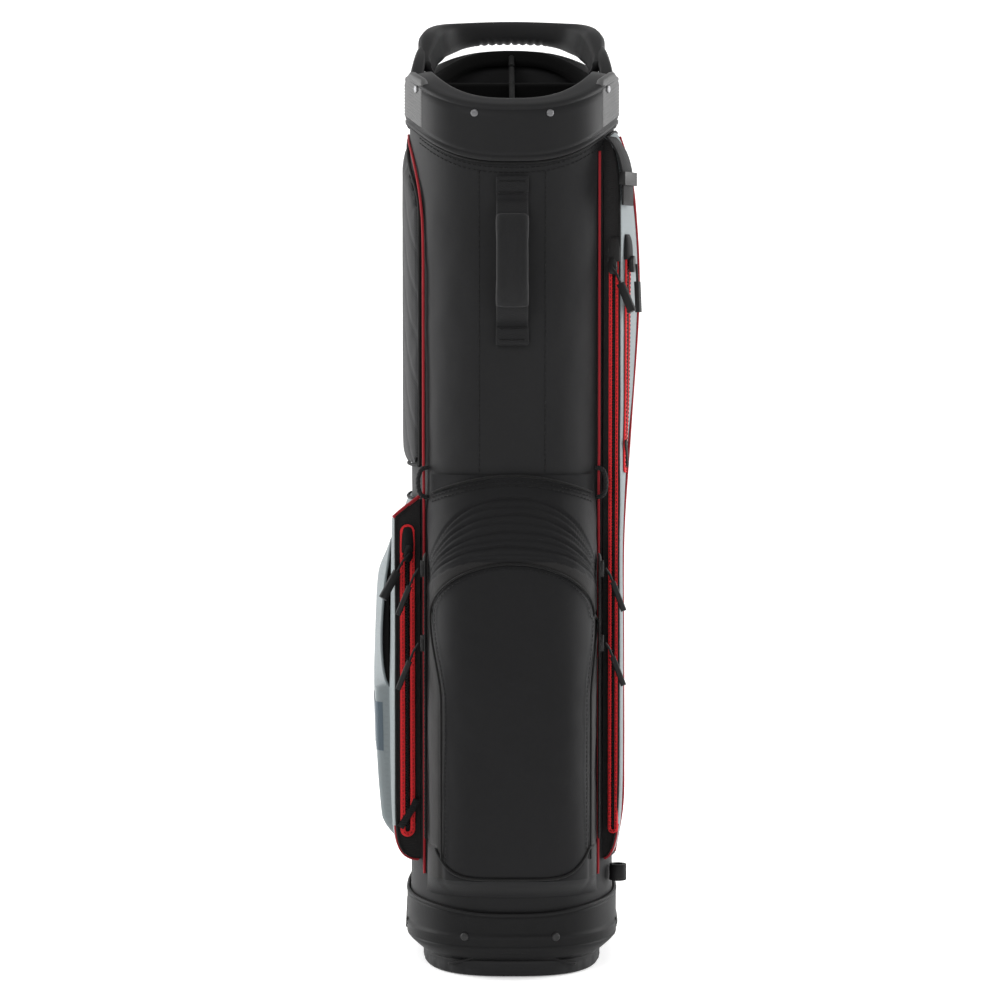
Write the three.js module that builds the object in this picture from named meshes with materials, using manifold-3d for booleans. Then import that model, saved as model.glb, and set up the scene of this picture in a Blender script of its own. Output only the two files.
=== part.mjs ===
// Golf stand bag: an oval fabric tube between a moulded boot and a slanted moulded collar, with sewn
// pockets, carrying handles, a double shoulder strap and two legs that a foot treadle pushes out.
// Millimetres, +Z up, front (ball pocket) towards -Y, legs and straps towards +Y, floor at z = 0.
import * as THREE from "three";
import { mergeVertices } from "three/addons/utils/BufferGeometryUtils.js";
import Module from "manifold-3d";

const wasm = await Module();
wasm.setup();

// ---- driving dimensions ----
const clearance = 0.4; // between pieces that are sewn, riveted or seated on each other
const outlinePower = 2.7; // squareness of every oval: 2 is an ellipse
const ovalSides = 40;

// body tube
const bodyHalfWidth = 95;
const bodyHalfDepth = 108;
const bodyWall = 3;

// collar
const collarWall = 3.4; // thickness of the skirt outside the body tube
const rimFrontHeight = 791;
const rimSideHeight = 824;
const rimBackHeight = 859;
const rimDepth = 14; // solid height of the rim over the top edge of the tube
const rimSideWidth = 24.8; // the rim seen from above, at the sides and at the front
const rimFrontWidth = 12.8;
const rimRound = 5;
const rivetDropFront = 9; // rivets below the rim
const rivetDropSide = 12;
const seamFrontHeight = 741;
const seamSideHeight = 781;
const seamBackHeight = 806;
const wingRise = 6; // side wings above the rim
const wingThickness = 17;
const wingFrontAngle = 62;
const wingBackAngle = 122;

// boot
const bootWall = 3.4;
const bootTopHeight = 68;
const bootFrontDip = 8;
const bootBackRise = 32;
const bootLedgeHeight = 38;
const bootChinHeight = 26;
const bootBottomHeight = 15;
const bootChinInset = 14;
const bootFloor = 4;
const wedgeStart = 22; // where the boot's underside starts to rise for the treadle
const wedgeAngle = 27;

// sole and treadle
const soleInset = 15.5;
const soleBack = 20;
const treadlePivotY = 30;
const treadlePivotZ = 8;
const treadleBarrel = 6;
const treadleInset = 28.8; // from the boot's side to the treadle's
const treadleLip = 4; // behind the wire
const treadleThickness = 9.7;
const treadlePad = 4;
const treadlePin = 3;
const lugWidth = 8;

// legs
const legPivotX = 58;
const legPivotStandoff = 10; // behind the tube
const legPivotDrop = 61; // under the collar's seam
const legFootAngle = 128;
const legFootStandoff = 17;
const legFootZ = 6;
const legSpread = [0.4, 0.916]; // direction in which a right leg swings, across and back
const legTubeRadius = 6.3;
const legTubeWall = 1.2;
const legPin = 3;
const knuckleRadius = 9;
const knuckleHalfLength = 8.6;
const socketWall = 1.8;
const socketLength = 46;
const footWall = 2.8;
const footLength = 30;

// bracket that carries the legs
const bracketHalfWidth = 34;
const bracketHeight = 36;
const bracketThickness = 17;

// actuator
const wireRadius = 2.4;
const wireX = 49;
const wireStandoff = 1.9; // from the boot to the wire
const wireDrop = 93; // its top end under the legs' pivots
const wireBend = 14;
const yokeHeight = 14;
const yokeThickness = 9;
const yokeLegGap = 1.22; // from the yoke's end to the leg beside it

// top handle
const handleRadius = 10.5;
const handleTipRadius = 5.5;
const handleRise = 20; // the bar's middle above the back rim
const handleGap = 13.7; // for fingers, behind the collar
const handleInset = 20.8; // from the collar's side to the bar's middle

// front grab handle
const grabWidth = 28.7;
const grabThickness = 2.4;
const grabTopHeight = 728;
const grabBottomHeight = 576;
const grabPatch = 22;
const grabReach = 19; // how far the middle of the handle stands off the bag
const sleeveWidth = 33.5;
const sleeveThickness = 10;

// ball pocket and the bellows over it
const ballDepth = 76; // from the corners of the bag to the front of the pocket
const ballFootGap = 27; // from the boot to the pocket
const ballTopHeight = 383;
const bellowsTopHeight = 459;
const ballSquareness = 3.2;
const ballHalfAngle = 51;
const bellowsTopHalfAngle = 42;

// left pocket
const leftFrontAngle = 58;
const leftBackAngle = 124;
const leftFootGap = 34;
const leftTopHeight = 435;
const leftGussetDepth = 26;
const leftBulge = 19.5;
const pouchGap = 2; // between the pocket's face and the pouch on it
const pouchDepth = 15;
const pouchWall = 2.5;
const pouchMouthHeight = 270; // the pouch's front edge is open above this

// right pocket
const rightFrontAngle = 57;
const rightBackAngle = 120;
const rightFootGap = 35;
const rightSeamGap = 5; // from the pocket to the collar's seam
const rightGussetDepth = 19;
const rightLowBulge = 7;
const rightHighBulge = 16;
const rightBulgeHeight = 620;
const rightBulgeSpread = 170;

// pads on the tube
const sidePadThickness = 5.5;
const sidePadBottomHeight = 466;
const sidePadSeamGap = 13;
const hipPadHalfWidth = 40;
const hipPadThickness = 12;
const hipPadBottomHeight = 300;
const hipPadTopHeight = 560;

// shoulder strap
const shoulderWidth = 34;
const shoulderThickness = 13;
const shoulderX = 21;
const shoulderDrop = 77; // its top end under the legs' pivots
const shoulderLength = 316;
const webbingWidth = 25;
const webbingThickness = 2;

// zips and pulls
const sliderWidth = 9;
const sliderLength = 15;
const sliderThickness = 4;
const pullCordRadius = 1.2;
const pullGripLength = 26;
const pullGripWidth = 8;
const pullGripThickness = 5;

// small fittings
const rivetRadius = 4.2;
const rivetHeight = 2;
const loopRadius = 2.2;
const loopReach = 11;
const loopHeight = 31;
const loopAngle = 49.2;
const loopMiddleHeight = 451;
const cupHeight = 15;
const cupBore = 4.5;
const cupRadius = 8;
const cupAngle = 68;
const cupFootGap = 12;
const buckleWidth = 30;
const buckleHeight = 12;
const buckleThickness = 6;
const adjusterAngle = 60;
const adjusterSeamGap = 6;
const adjusterLength = 62;

// ---- values worked out from them ----
const radians = THREE.MathUtils.degToRad;
const collarHalfWidth = bodyHalfWidth + clearance + collarWall;
const collarHalfDepth = bodyHalfDepth + clearance + collarWall;
const bootHalfWidth = bodyHalfWidth + clearance + bootWall;
const bootHalfDepth = bodyHalfDepth + clearance + bootWall;
const rimHalfOpeningWidth = collarHalfWidth - rimSideWidth;
const rimHalfOpeningDepth = collarHalfDepth - rimFrontWidth;
const socketRadius = legTubeRadius + clearance + socketWall;
const footRadius = legTubeRadius + clearance + footWall;
const legHalfRoom = Math.max(knuckleHalfLength, socketRadius + 0.1); // from a leg's middle to what holds it
const legPivotY = bodyHalfDepth + legPivotStandoff;
const legPivotZ = seamBackHeight - legPivotDrop;
const wireOval = (1 - (wireX / bootHalfWidth) ** outlinePower) ** (1 / outlinePower);
const wireY = bootHalfDepth * wireOval + wireStandoff + wireRadius;
const treadleTop = treadlePad + clearance + treadleThickness;
const wireBottomZ = treadleTop + clearance + wireRadius;
const wireTopZ = legPivotZ - wireDrop;
const treadleHalfWidth = bootHalfWidth - treadleInset;
const treadleBack = wireY + treadleLip;
const handlePeakHeight = rimBackHeight + handleRise;
const handleBack = collarHalfDepth + handleGap + handleRadius;
const handleHalfWidth = collarHalfWidth - handleInset;
const ballBottomHeight = bootTopHeight + ballFootGap;
const leftBottomHeight = bootTopHeight + leftFootGap;
const rightBottomHeight = bootTopHeight + rightFootGap;
const rightTopHeight = seamSideHeight - rightSeamGap;
const sidePadTopHeight = seamSideHeight - sidePadSeamGap;
const shoulderTopHeight = legPivotZ - shoulderDrop;
const shoulderBottomHeight = shoulderTopHeight - shoulderLength;
const wedgeSlope = Math.tan(radians(wedgeAngle));

// ---- materials ----
const finishes = {
  blackFabric: { color: 0x2b2b2c, roughness: 0.9, metalness: 0 },
  silverFabric: { color: 0x969fa1, roughness: 0.75, metalness: 0 },
  greyMesh: { color: 0x57585a, roughness: 0.95, metalness: 0 },
  webbing: { color: 0x1c1c1d, roughness: 0.85, metalness: 0 },
  moulding: { color: 0x18181a, roughness: 0.55, metalness: 0 },
  rubber: { color: 0x141415, roughness: 0.7, metalness: 0 },
  steel: { color: 0x8d8f92, roughness: 0.35, metalness: 1 },
  aluminium: { color: 0x2f3033, roughness: 0.4, metalness: 1 },
};
const materials = {};
for (const [name, values] of Object.entries(finishes)) {
  materials[name] = new THREE.MeshStandardMaterial(values);
  materials[name].name = name;
}

const bag = new THREE.Group();

function place(name, geometry, finish) {
  const mesh = new THREE.Mesh(geometry, materials[finish]);
  mesh.name = name;
  bag.add(mesh);
  return mesh;
}

// ---- solids ----

// A closed geometry from points and triangles, turned so that its faces point out.
function closedGeometry(points, triangles) {
  let volume = 0;
  for (let i = 0; i < triangles.length; i += 3) {
    const [a, b, c] = [0, 1, 2].map((k) => points[triangles[i + k]]);
    volume += a.dot(b.clone().cross(c));
  }
  const faces = volume < 0 ? triangles.slice().reverse() : triangles;
  const geometry = new THREE.BufferGeometry().setFromPoints(points);
  geometry.setIndex(faces);
  geometry.computeVertexNormals();
  return geometry;
}

// A skin over closed rings of points, with a fan over each end.
function skin(rings) {
  const points = rings.flat();
  const triangles = [];
  const count = rings[0].length;
  for (let level = 0; level + 1 < rings.length; level += 1) {
    for (let i = 0; i < count; i += 1) {
      const next = (i + 1) % count;
      const here = level * count;
      const above = here + count;
      triangles.push(here + i, here + next, above + next, here + i, above + next, above + i);
    }
  }
  for (const [ring, first, last] of [
    [rings[0], 0, false],
    [rings[rings.length - 1], (rings.length - 1) * count, true],
  ]) {
    const middle = ring.reduce((sum, p) => sum.add(p), new THREE.Vector3());
    const centre = points.push(middle.divideScalar(count)) - 1;
    for (let i = 0; i < count; i += 1) {
      const pair = [first + i, first + ((i + 1) % count)];
      if (!last) pair.reverse();
      triangles.push(centre, ...pair);
    }
  }
  return closedGeometry(points, triangles);
}

// The solid between an outer and an inner surface, each a function of two shares from 0 to 1.
function slab(across, up, outer, inner) {
  const points = [];
  for (const surface of [outer, inner]) {
    for (let j = 0; j <= up; j += 1) {
      for (let i = 0; i <= across; i += 1) points.push(surface(i / across, j / up));
    }
  }
  const row = across + 1;
  const behind = row * (up + 1);
  const triangles = [];
  const quad = (a, b, c, d) => triangles.push(a, b, c, a, c, d);
  for (let j = 0; j < up; j += 1) {
    for (let i = 0; i < across; i += 1) {
      const k = j * row + i;
      quad(k, k + 1, k + row + 1, k + row);
      quad(behind + k, behind + k + row, behind + k + row + 1, behind + k + 1);
    }
    const left = j * row;
    const right = left + across;
    quad(left, left + row, behind + left + row, behind + left);
    quad(right, behind + right, behind + right + row, right + row);
  }
  for (let i = 0; i < across; i += 1) {
    const top = up * row + i;
    quad(i, behind + i, behind + i + 1, i + 1);
    quad(top, top + 1, behind + top + 1, behind + top);
  }
  return closedGeometry(points, triangles);
}

function manifoldOf(geometry) {
  const plain = geometry.index ? geometry.toNonIndexed() : geometry.clone();
  plain.deleteAttribute("normal");
  plain.deleteAttribute("uv");
  const merged = mergeVertices(plain, 1e-3);
  return new wasm.Manifold(
    new wasm.Mesh({
      numProp: 3,
      vertProperties: merged.attributes.position.array,
      triVerts: new Uint32Array(merged.index.array),
    }),
  );
}

function geometryOf(manifold) {
  const mesh = manifold.getMesh();
  const geometry = new THREE.BufferGeometry();
  geometry.setAttribute("position", new THREE.BufferAttribute(mesh.vertProperties, 3));
  geometry.setIndex(new THREE.BufferAttribute(mesh.triVerts, 1));
  geometry.computeVertexNormals();
  return geometry;
}

function join(first, ...others) {
  return geometryOf(others.reduce((sum, g) => sum.add(manifoldOf(g)), manifoldOf(first)));
}

function cut(first, ...others) {
  return geometryOf(others.reduce((rest, g) => rest.subtract(manifoldOf(g)), manifoldOf(first)));
}

function common(first, second) {
  return geometryOf(manifoldOf(first).intersect(manifoldOf(second)));
}

function box(from, to) {
  const size = to.map((value, k) => value - from[k]);
  const geometry = new THREE.BoxGeometry(...size);
  return geometry.translate(...from.map((value, k) => value + size[k] / 2));
}

// A cylinder from one point to another.
function rod(from, to, radius, sides = 16) {
  const along = to.clone().sub(from);
  const geometry = new THREE.CylinderGeometry(radius, radius, along.length(), sides);
  const turn = new THREE.Quaternion().setFromUnitVectors(
    new THREE.Vector3(0, 1, 0),
    along.clone().normalize(),
  );
  const middle = from.clone().add(to).divideScalar(2);
  return geometry.applyQuaternion(turn).translate(middle.x, middle.y, middle.z);
}

function vector(x, y, z) {
  return new THREE.Vector3(x, y, z);
}

function smoothCurve(points) {
  return new THREE.CatmullRomCurve3(points, false, "centripetal");
}

// A round bar through points, with a ring of its section square to the bar at each of them.
function bar(points, radius, sides) {
  const last = points.length - 1;
  const seed = vector(0.31, 0.82, 0.48);
  const rings = points.map((point, i) => {
    const before = points[Math.max(0, i - 1)];
    const after = points[Math.min(last, i + 1)];
    const along = after.clone().sub(before).normalize();
    const side = seed.addScaledVector(along, -seed.dot(along)).normalize().clone();
    const out = along.clone().cross(side);
    const ring = [];
    for (let k = 0; k < sides; k += 1) {
      const angle = (k / sides) * 2 * Math.PI;
      const corner = point.clone().addScaledVector(side, radius * Math.cos(angle));
      ring.push(corner.addScaledVector(out, radius * Math.sin(angle)));
    }
    return ring;
  });
  return skin(rings);
}

// A flat band along a curve: across is its width direction, corner rounds its section.
function band(curve, steps, width, thickness, across, corner = 0) {
  const rings = [];
  for (let i = 0; i <= steps; i += 1) {
    const share = i / steps;
    const along = curve.getTangentAt(share);
    const side = across.clone().addScaledVector(along, -across.dot(along)).normalize();
    const out = side.clone().cross(along).normalize();
    const ring = [];
    for (const [u, v] of bandSection(width / 2, thickness / 2, corner)) {
      ring.push(curve.getPointAt(share).addScaledVector(side, u).addScaledVector(out, v));
    }
    rings.push(ring);
  }
  return skin(rings);
}

function bandSection(halfWidth, halfThickness, corner) {
  if (!corner) {
    return [
      [-halfWidth, -halfThickness],
      [halfWidth, -halfThickness],
      [halfWidth, halfThickness],
      [-halfWidth, halfThickness],
    ];
  }
  const section = [];
  for (let quarter = 0; quarter < 4; quarter += 1) {
    const u = halfWidth - corner;
    const v = halfThickness - corner;
    const centre = [
      [u, v],
      [-u, v],
      [-u, -v],
      [u, -v],
    ][quarter];
    for (const step of [0, 0.5, 1]) {
      const angle = ((quarter + step) * Math.PI) / 2;
      section.push([centre[0] + corner * Math.cos(angle), centre[1] + corner * Math.sin(angle)]);
    }
  }
  return section;
}

// ---- the oval of the bag ----

// A point on an oval: angle 0 is the front, positive angles go towards +X.
function ovalPoint(halfWidth, halfDepth, angle) {
  const sine = Math.sin(angle);
  const cosine = Math.cos(angle);
  const power = 2 / outlinePower;
  return new THREE.Vector2(
    halfWidth * Math.sign(sine) * Math.abs(sine) ** power,
    -halfDepth * Math.sign(cosine) * Math.abs(cosine) ** power,
  );
}

// A closed oval solid through levels, each with its two half sizes and a height that may vary round it.
function ovalSolid(levels) {
  const rings = levels.map(([halfWidth, halfDepth, height]) => {
    const ring = [];
    for (let i = 0; i < ovalSides; i += 1) {
      const angle = (i / ovalSides) * 2 * Math.PI;
      const point = ovalPoint(halfWidth, halfDepth, angle);
      const z = typeof height === "number" ? height : height(angle);
      ring.push(vector(point.x, point.y, z));
    }
    return ring;
  });
  return skin(rings);
}

// A point on the body tube's side at an angle in degrees, stood off by an offset.
function onBody(degrees, offset, z) {
  const point = ovalPoint(bodyHalfWidth, bodyHalfDepth, radians(degrees));
  const out = bodyNormal(degrees);
  return vector(point.x + out.x * offset, point.y + out.y * offset, z);
}

function bodyNormal(degrees) {
  const point = ovalPoint(bodyHalfWidth, bodyHalfDepth, radians(degrees));
  const power = outlinePower - 1;
  const x = (Math.sign(point.x) * Math.abs(point.x / bodyHalfWidth) ** power) / bodyHalfWidth;
  const y = (Math.sign(point.y) * Math.abs(point.y / bodyHalfDepth) ** power) / bodyHalfDepth;
  return vector(x, y, 0).normalize();
}

function mix(a, b, share) {
  return a + (b - a) * share;
}

function smooth(share) {
  return THREE.MathUtils.smoothstep(share, 0, 1);
}

// A sewn piece wrapped on the tube between two angles and two heights, thickness(across, up) thick.
function wrapped({ from, to, bottom, top, thickness, inner = () => clearance, across = 14, up = 8 }) {
  const at = (depth) => (s, v) => {
    const degrees = mix(from, to, s);
    const low = typeof bottom === "number" ? bottom : bottom(s);
    const high = typeof top === "number" ? top : top(s);
    return onBody(degrees, depth(s, v), mix(low, high, v));
  };
  return slab(across, up, at(thickness), at(inner));
}

// ---- collar, tube, dividers, boot, sole ----

// A height round the collar: lowest at the front, highest at the back.
function roundCollar(angle, front, side, back) {
  return mix(Math.cos(angle) > 0 ? front : back, side, Math.sin(angle) ** 2);
}

function rimHeight(angle) {
  return roundCollar(angle, rimFrontHeight, rimSideHeight, rimBackHeight);
}

function seamHeight(angle) {
  return roundCollar(angle, seamFrontHeight, seamSideHeight, seamBackHeight);
}

function wing(side) {
  return wrapped({
    from: side * wingFrontAngle,
    to: side * wingBackAngle,
    bottom: () => seamSideHeight + 20,
    top: (s) => {
      const angle = radians(mix(wingFrontAngle, wingBackAngle, s));
      return rimHeight(angle) + wingRise * Math.sin(Math.PI * s) ** 0.6;
    },
    thickness: (s, v) => collarWall + clearance - (v > 0.95 ? rimRound / 2 : 0),
    inner: () => collarWall + clearance - wingThickness,
    across: 10,
    up: 3,
  });
}

function collar() {
  const outside = ovalSolid([
    [collarHalfWidth, collarHalfDepth, seamHeight],
    [collarHalfWidth, collarHalfDepth, (angle) => rimHeight(angle) - rimRound],
    [collarHalfWidth - rimRound, collarHalfDepth - rimRound, rimHeight],
  ]);
  const opening = ovalSolid([
    [rimHalfOpeningWidth, rimHalfOpeningDepth, 0],
    [rimHalfOpeningWidth, rimHalfOpeningDepth, rimBackHeight * 2],
  ]);
  const tubeSeat = ovalSolid([
    [bodyHalfWidth + clearance, bodyHalfDepth + clearance, 0],
    [bodyHalfWidth + clearance, bodyHalfDepth + clearance, (angle) => rimHeight(angle) - rimDepth],
  ]);
  return cut(join(outside, wing(1), wing(-1)), opening, tubeSeat);
}

// Everything under the boot's rising underside, moved up by a thickness.
function underWedge(rise) {
  const reach = 2 * bodyHalfDepth;
  const profile = new THREE.Shape();
  profile.moveTo(wedgeStart, bootBottomHeight + rise);
  profile.lineTo(wedgeStart + reach, bootBottomHeight + rise + reach * wedgeSlope);
  profile.lineTo(wedgeStart + reach, -reach);
  profile.lineTo(wedgeStart, -reach);
  profile.closePath();
  const width = 4 * bodyHalfWidth;
  const block = new THREE.ExtrudeGeometry(profile, { depth: width, bevelEnabled: false });
  block.translate(0, 0, -width / 2);
  block.applyMatrix4(new THREE.Matrix4().set(0, 0, 1, 0, 1, 0, 0, 0, 0, 1, 0, 0, 0, 0, 0, 1));
  return block;
}

function bodyTube() {
  const bottom = bootBottomHeight + bootFloor + clearance;
  const top = (angle) => rimHeight(angle) - rimDepth - clearance;
  const outside = ovalSolid([
    [bodyHalfWidth, bodyHalfDepth, bottom],
    [bodyHalfWidth, bodyHalfDepth, top],
  ]);
  const inside = ovalSolid([
    [bodyHalfWidth - bodyWall, bodyHalfDepth - bodyWall, -10],
    [bodyHalfWidth - bodyWall, bodyHalfDepth - bodyWall, rimBackHeight * 2],
  ]);
  const chin = ovalSolid([
    [bootHalfWidth - bootChinInset - bootWall, bootHalfDepth - bootChinInset - bootWall, -10],
    [bootHalfWidth - bootChinInset - bootWall, bootHalfDepth - bootChinInset - bootWall, 0],
  ]);
  const lowCut = box(
    [-2 * bodyHalfWidth, -2 * bodyHalfDepth, -20],
    [2 * bodyHalfWidth, 2 * bodyHalfDepth, bootChinHeight + bootFloor],
  );
  return cut(outside, inside, chin, lowCut, underWedge(bootFloor + clearance * 2));
}

function boot() {
  const topEdge = (angle) => {
    const lift = Math.cos(angle);
    return lift > 0 ? bootTopHeight - bootFrontDip * lift ** 4 : bootTopHeight + bootBackRise * lift ** 2;
  };
  const outside = ovalSolid([
    [bootHalfWidth - bootChinInset, bootHalfDepth - bootChinInset, bootBottomHeight],
    [bootHalfWidth, bootHalfDepth, bootChinHeight],
    [bootHalfWidth, bootHalfDepth, bootLedgeHeight],
    [bootHalfWidth - clearance, bootHalfDepth - clearance, topEdge],
  ]);
  const seat = bodyHalfWidth + clearance;
  const seatDepth = bodyHalfDepth + clearance;
  const cavity = cut(
    ovalSolid([
      [seat - bootChinInset, seatDepth - bootChinInset, bootBottomHeight + bootFloor],
      [seat, seatDepth, bootChinHeight + bootFloor],
      [seat, seatDepth, 4 * bootTopHeight],
    ]),
    underWedge(bootFloor),
  );
  const lugs = [-1, 1].map((side) => {
    const inside = treadleHalfWidth + 1.5;
    const xs = [side * inside, side * (inside + lugWidth)].sort((a, b) => a - b);
    return box(
      [xs[0], treadlePivotY - 5.5, treadlePivotZ - 5.5],
      [xs[1], treadlePivotY + 5.5, bootBottomHeight + 7],
    );
  });
  const pinHole = rod(
    vector(-treadleHalfWidth - lugWidth, treadlePivotY, treadlePivotZ),
    vector(treadleHalfWidth + lugWidth, treadlePivotY, treadlePivotZ),
    treadlePin + clearance,
  );
  return cut(join(cut(outside, cavity, underWedge(0)), ...lugs), pinHole);
}

function sole() {
  const halfWidth = bootHalfWidth - soleInset;
  const halfDepth = bootHalfDepth - soleInset + 10;
  const outline = ovalSolid([
    [halfWidth - 2, halfDepth - 2, 0],
    [halfWidth, halfDepth, 3],
    [halfWidth, halfDepth, bootBottomHeight - clearance],
  ]);
  const back = box([-2 * halfWidth, soleBack, -10], [2 * halfWidth, 3 * halfDepth, 40]);
  return cut(outline, back);
}

function clubDividers() {
  const wall = 3;
  const wide = [bodyHalfWidth - bodyWall - clearance, bodyHalfDepth - bodyWall - clearance];
  const narrow = [rimHalfOpeningWidth - clearance, rimHalfOpeningDepth - clearance];
  const bottom = bootTopHeight + 8;
  const under = (angle) => rimHeight(angle) - rimDepth - 2;
  const top = (angle) => rimHeight(angle) - 3;
  const room = join(
    ovalSolid([
      [...wide, bottom],
      [...wide, under],
    ]),
    ovalSolid([
      [...narrow, bottom],
      [...narrow, top],
    ]),
  );
  const high = rimBackHeight + 50;
  const cross = join(
    box([-wall / 2, -2 * bodyHalfDepth, 0], [wall / 2, 2 * bodyHalfDepth, high]),
    box([-2 * bodyHalfWidth, -wall / 2, 0], [2 * bodyHalfWidth, wall / 2, high]),
  );
  return common(cross, room);
}

place("body_tube", bodyTube(), "blackFabric");
place("collar", collar(), "moulding");
place("club_dividers", clubDividers(), "blackFabric");
place("boot", boot(), "moulding");
place("sole", sole(), "rubber");

// ---- top handle: a tapered bar from one wing round the back to the other ----
function topHandle() {
  const tipY = 24;
  const tipHeight = rimHeight(Math.PI / 2) + wingRise;
  const half = [
    vector(handleHalfWidth + 2, tipY, tipHeight + handleTipRadius + 1),
    vector(handleHalfWidth + 3, tipY + 12, tipHeight + handleRadius + 4),
    vector(handleHalfWidth + 1, 0.66 * collarHalfDepth, handlePeakHeight - 17),
    vector(handleHalfWidth - 8, collarHalfDepth - 3, handlePeakHeight - 6),
    vector(handleHalfWidth - 30, handleBack - 7, handlePeakHeight - 2),
  ];
  const mirrored = half.map((p) => vector(-p.x, p.y, p.z));
  const curve = smoothCurve([...half, vector(0, handleBack, handlePeakHeight), ...mirrored.reverse()]);
  const steps = 24;
  const sides = 10;
  const rings = [];
  const up = vector(0, 0, 1);
  for (let i = 0; i <= steps; i += 1) {
    const share = i / steps;
    const along = curve.getTangentAt(share);
    const side = up.clone().cross(along).normalize();
    const out = along.clone().cross(side);
    const fullness = smooth(Math.min(1, 5 * Math.min(share, 1 - share)));
    const radius = mix(handleTipRadius, handleRadius, fullness);
    const ring = [];
    for (let k = 0; k < sides; k += 1) {
      const angle = (k / sides) * 2 * Math.PI;
      const point = curve.getPointAt(share);
      point.addScaledVector(side, radius * Math.cos(angle));
      ring.push(point.addScaledVector(out, radius * Math.sin(angle)));
    }
    rings.push(ring);
  }
  return skin(rings);
}
place("top_handle", topHandle(), "rubber");

// ---- rivets through the collar ----
function rivet(point, out) {
  const base = point.clone().addScaledVector(out, clearance);
  const radii = [rivetRadius, rivetRadius * 0.85, rivetRadius * 0.4];
  const rises = [0, 0.7, 1];
  const turn = new THREE.Quaternion().setFromUnitVectors(vector(0, 0, 1), out);
  const rings = radii.map((radius, level) => {
    const ring = [];
    for (let i = 0; i < 12; i += 1) {
      const angle = (i / 12) * 2 * Math.PI;
      const local = vector(radius * Math.cos(angle), radius * Math.sin(angle), rises[level] * rivetHeight);
      ring.push(local.applyQuaternion(turn).add(base));
    }
    return ring;
  });
  return skin(rings);
}

const collarRivets = [
  ["front", 14, rivetDropFront],
  ["side", 70, rivetDropSide],
];
for (const [where, degrees, drop] of collarRivets) {
  const height = rimHeight(radians(degrees)) - drop;
  for (const [name, side] of [
    ["left", -1],
    ["right", 1],
  ]) {
    const skinOffset = collarWall + clearance;
    const point = onBody(side * degrees, skinOffset + 0.3, height);
    place(`collar_rivet_${where}_${name}`, rivet(point, bodyNormal(side * degrees)), "steel");
  }
}

// ---- front grab handle ----
function grabCurve(from, to) {
  const skinY = -bodyHalfDepth - 2 * clearance - grabThickness / 2;
  const lift = skinY - grabReach;
  const top = grabTopHeight - grabPatch;
  const bottom = grabBottomHeight + grabPatch;
  const points = [
    vector(0, skinY, grabTopHeight),
    vector(0, skinY, top + 5),
    vector(0, skinY, top),
    vector(0, mix(skinY, lift, 0.55), top - 12),
    vector(0, lift, top - 32),
    vector(0, lift, bottom + 32),
    vector(0, mix(skinY, lift, 0.55), bottom + 12),
    vector(0, skinY, bottom),
    vector(0, skinY, bottom - 5),
    vector(0, skinY, grabBottomHeight),
  ];
  return smoothCurve(points.slice(from, to));
}

function grabSleeve() {
  const across = vector(1, 0, 0);
  const outer = band(grabCurve(3, 7), 8, sleeveWidth, sleeveThickness, across, 3.5);
  const bore = band(
    grabCurve(0, 10),
    32,
    grabWidth + 2 * clearance,
    grabThickness + 2 * clearance + 0.6,
    across,
  );
  return cut(outer, bore);
}
place("grab_handle_webbing", band(grabCurve(0, 10), 32, grabWidth, grabThickness, vector(1, 0, 0)), "webbing");
place("grab_handle_sleeve", grabSleeve(), "blackFabric");

// ---- ball pocket and bellows ----

const ballHalfWidth = onBody(ballHalfAngle, clearance, 0).x - 1;

// The front of the pocket: a half oval that stands forward of the bag's front corners.
function ballFront(share, depth, halfWidth, z) {
  const angle = Math.PI * share;
  const power = 2 / ballSquareness;
  const base = onBody(ballHalfAngle, clearance, 0).y;
  const x = -halfWidth * Math.sign(Math.cos(angle)) * Math.abs(Math.cos(angle)) ** power;
  return vector(x, base - depth * Math.sin(angle) ** power, z);
}

function ballPocket() {
  const depthAt = (v) => ballDepth - 9 * Math.abs(2 * v - 1) ** 2.5;
  return slab(
    20,
    8,
    (s, v) => ballFront(s, depthAt(v), ballHalfWidth, mix(ballBottomHeight, ballTopHeight, v)),
    (s, v) => {
      const degrees = mix(-ballHalfAngle, ballHalfAngle, s);
      return onBody(degrees, clearance, mix(ballBottomHeight, ballTopHeight, v));
    },
  );
}

function bellows() {
  const bottom = ballTopHeight + clearance;
  return slab(
    20,
    5,
    (s, v) => {
      const z = mix(bottom, bellowsTopHeight, v);
      const front = ballFront(s, ballDepth - 10, ballHalfWidth - 2, z);
      const half = mix(ballHalfAngle, bellowsTopHalfAngle, v);
      const flush = onBody(mix(-half, half, s), clearance + 3, z);
      return front.lerp(flush, smooth(v));
    },
    (s, v) => {
      const half = mix(ballHalfAngle, bellowsTopHalfAngle, v);
      return onBody(mix(-half, half, s), clearance, mix(bottom, bellowsTopHeight, v));
    },
  );
}
place("ball_pocket", ballPocket(), "blackFabric");
place("ball_pocket_bellows", bellows(), "blackFabric");

// ---- side pockets ----

// How full a pocket is at a share of its height: 0 at its ends, 1 in the middle.
function fullness(v, power, root) {
  return Math.max(0, 1 - Math.abs(2 * v - 1) ** power) ** root;
}

function leftDepth(s, v) {
  const middle = leftBulge * fullness(v, 2.6, 0.7);
  const front = leftGussetDepth * fullness(v, 6, 0.6);
  const back = 3;
  const along = s < 0.4 ? mix(front, middle, smooth(s / 0.4)) : mix(middle, back, smooth((s - 0.4) / 0.6));
  return clearance + Math.max(2, along);
}

function leftPocket() {
  return wrapped({
    from: -leftFrontAngle,
    to: -leftBackAngle,
    bottom: leftBottomHeight,
    top: leftTopHeight,
    thickness: leftDepth,
    across: 14,
    up: 10,
  });
}

const pouchFront = 0.16;
const pouchBack = 0.9;
const pouchBottom = 0.05;
const pouchTop = 0.9;

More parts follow.
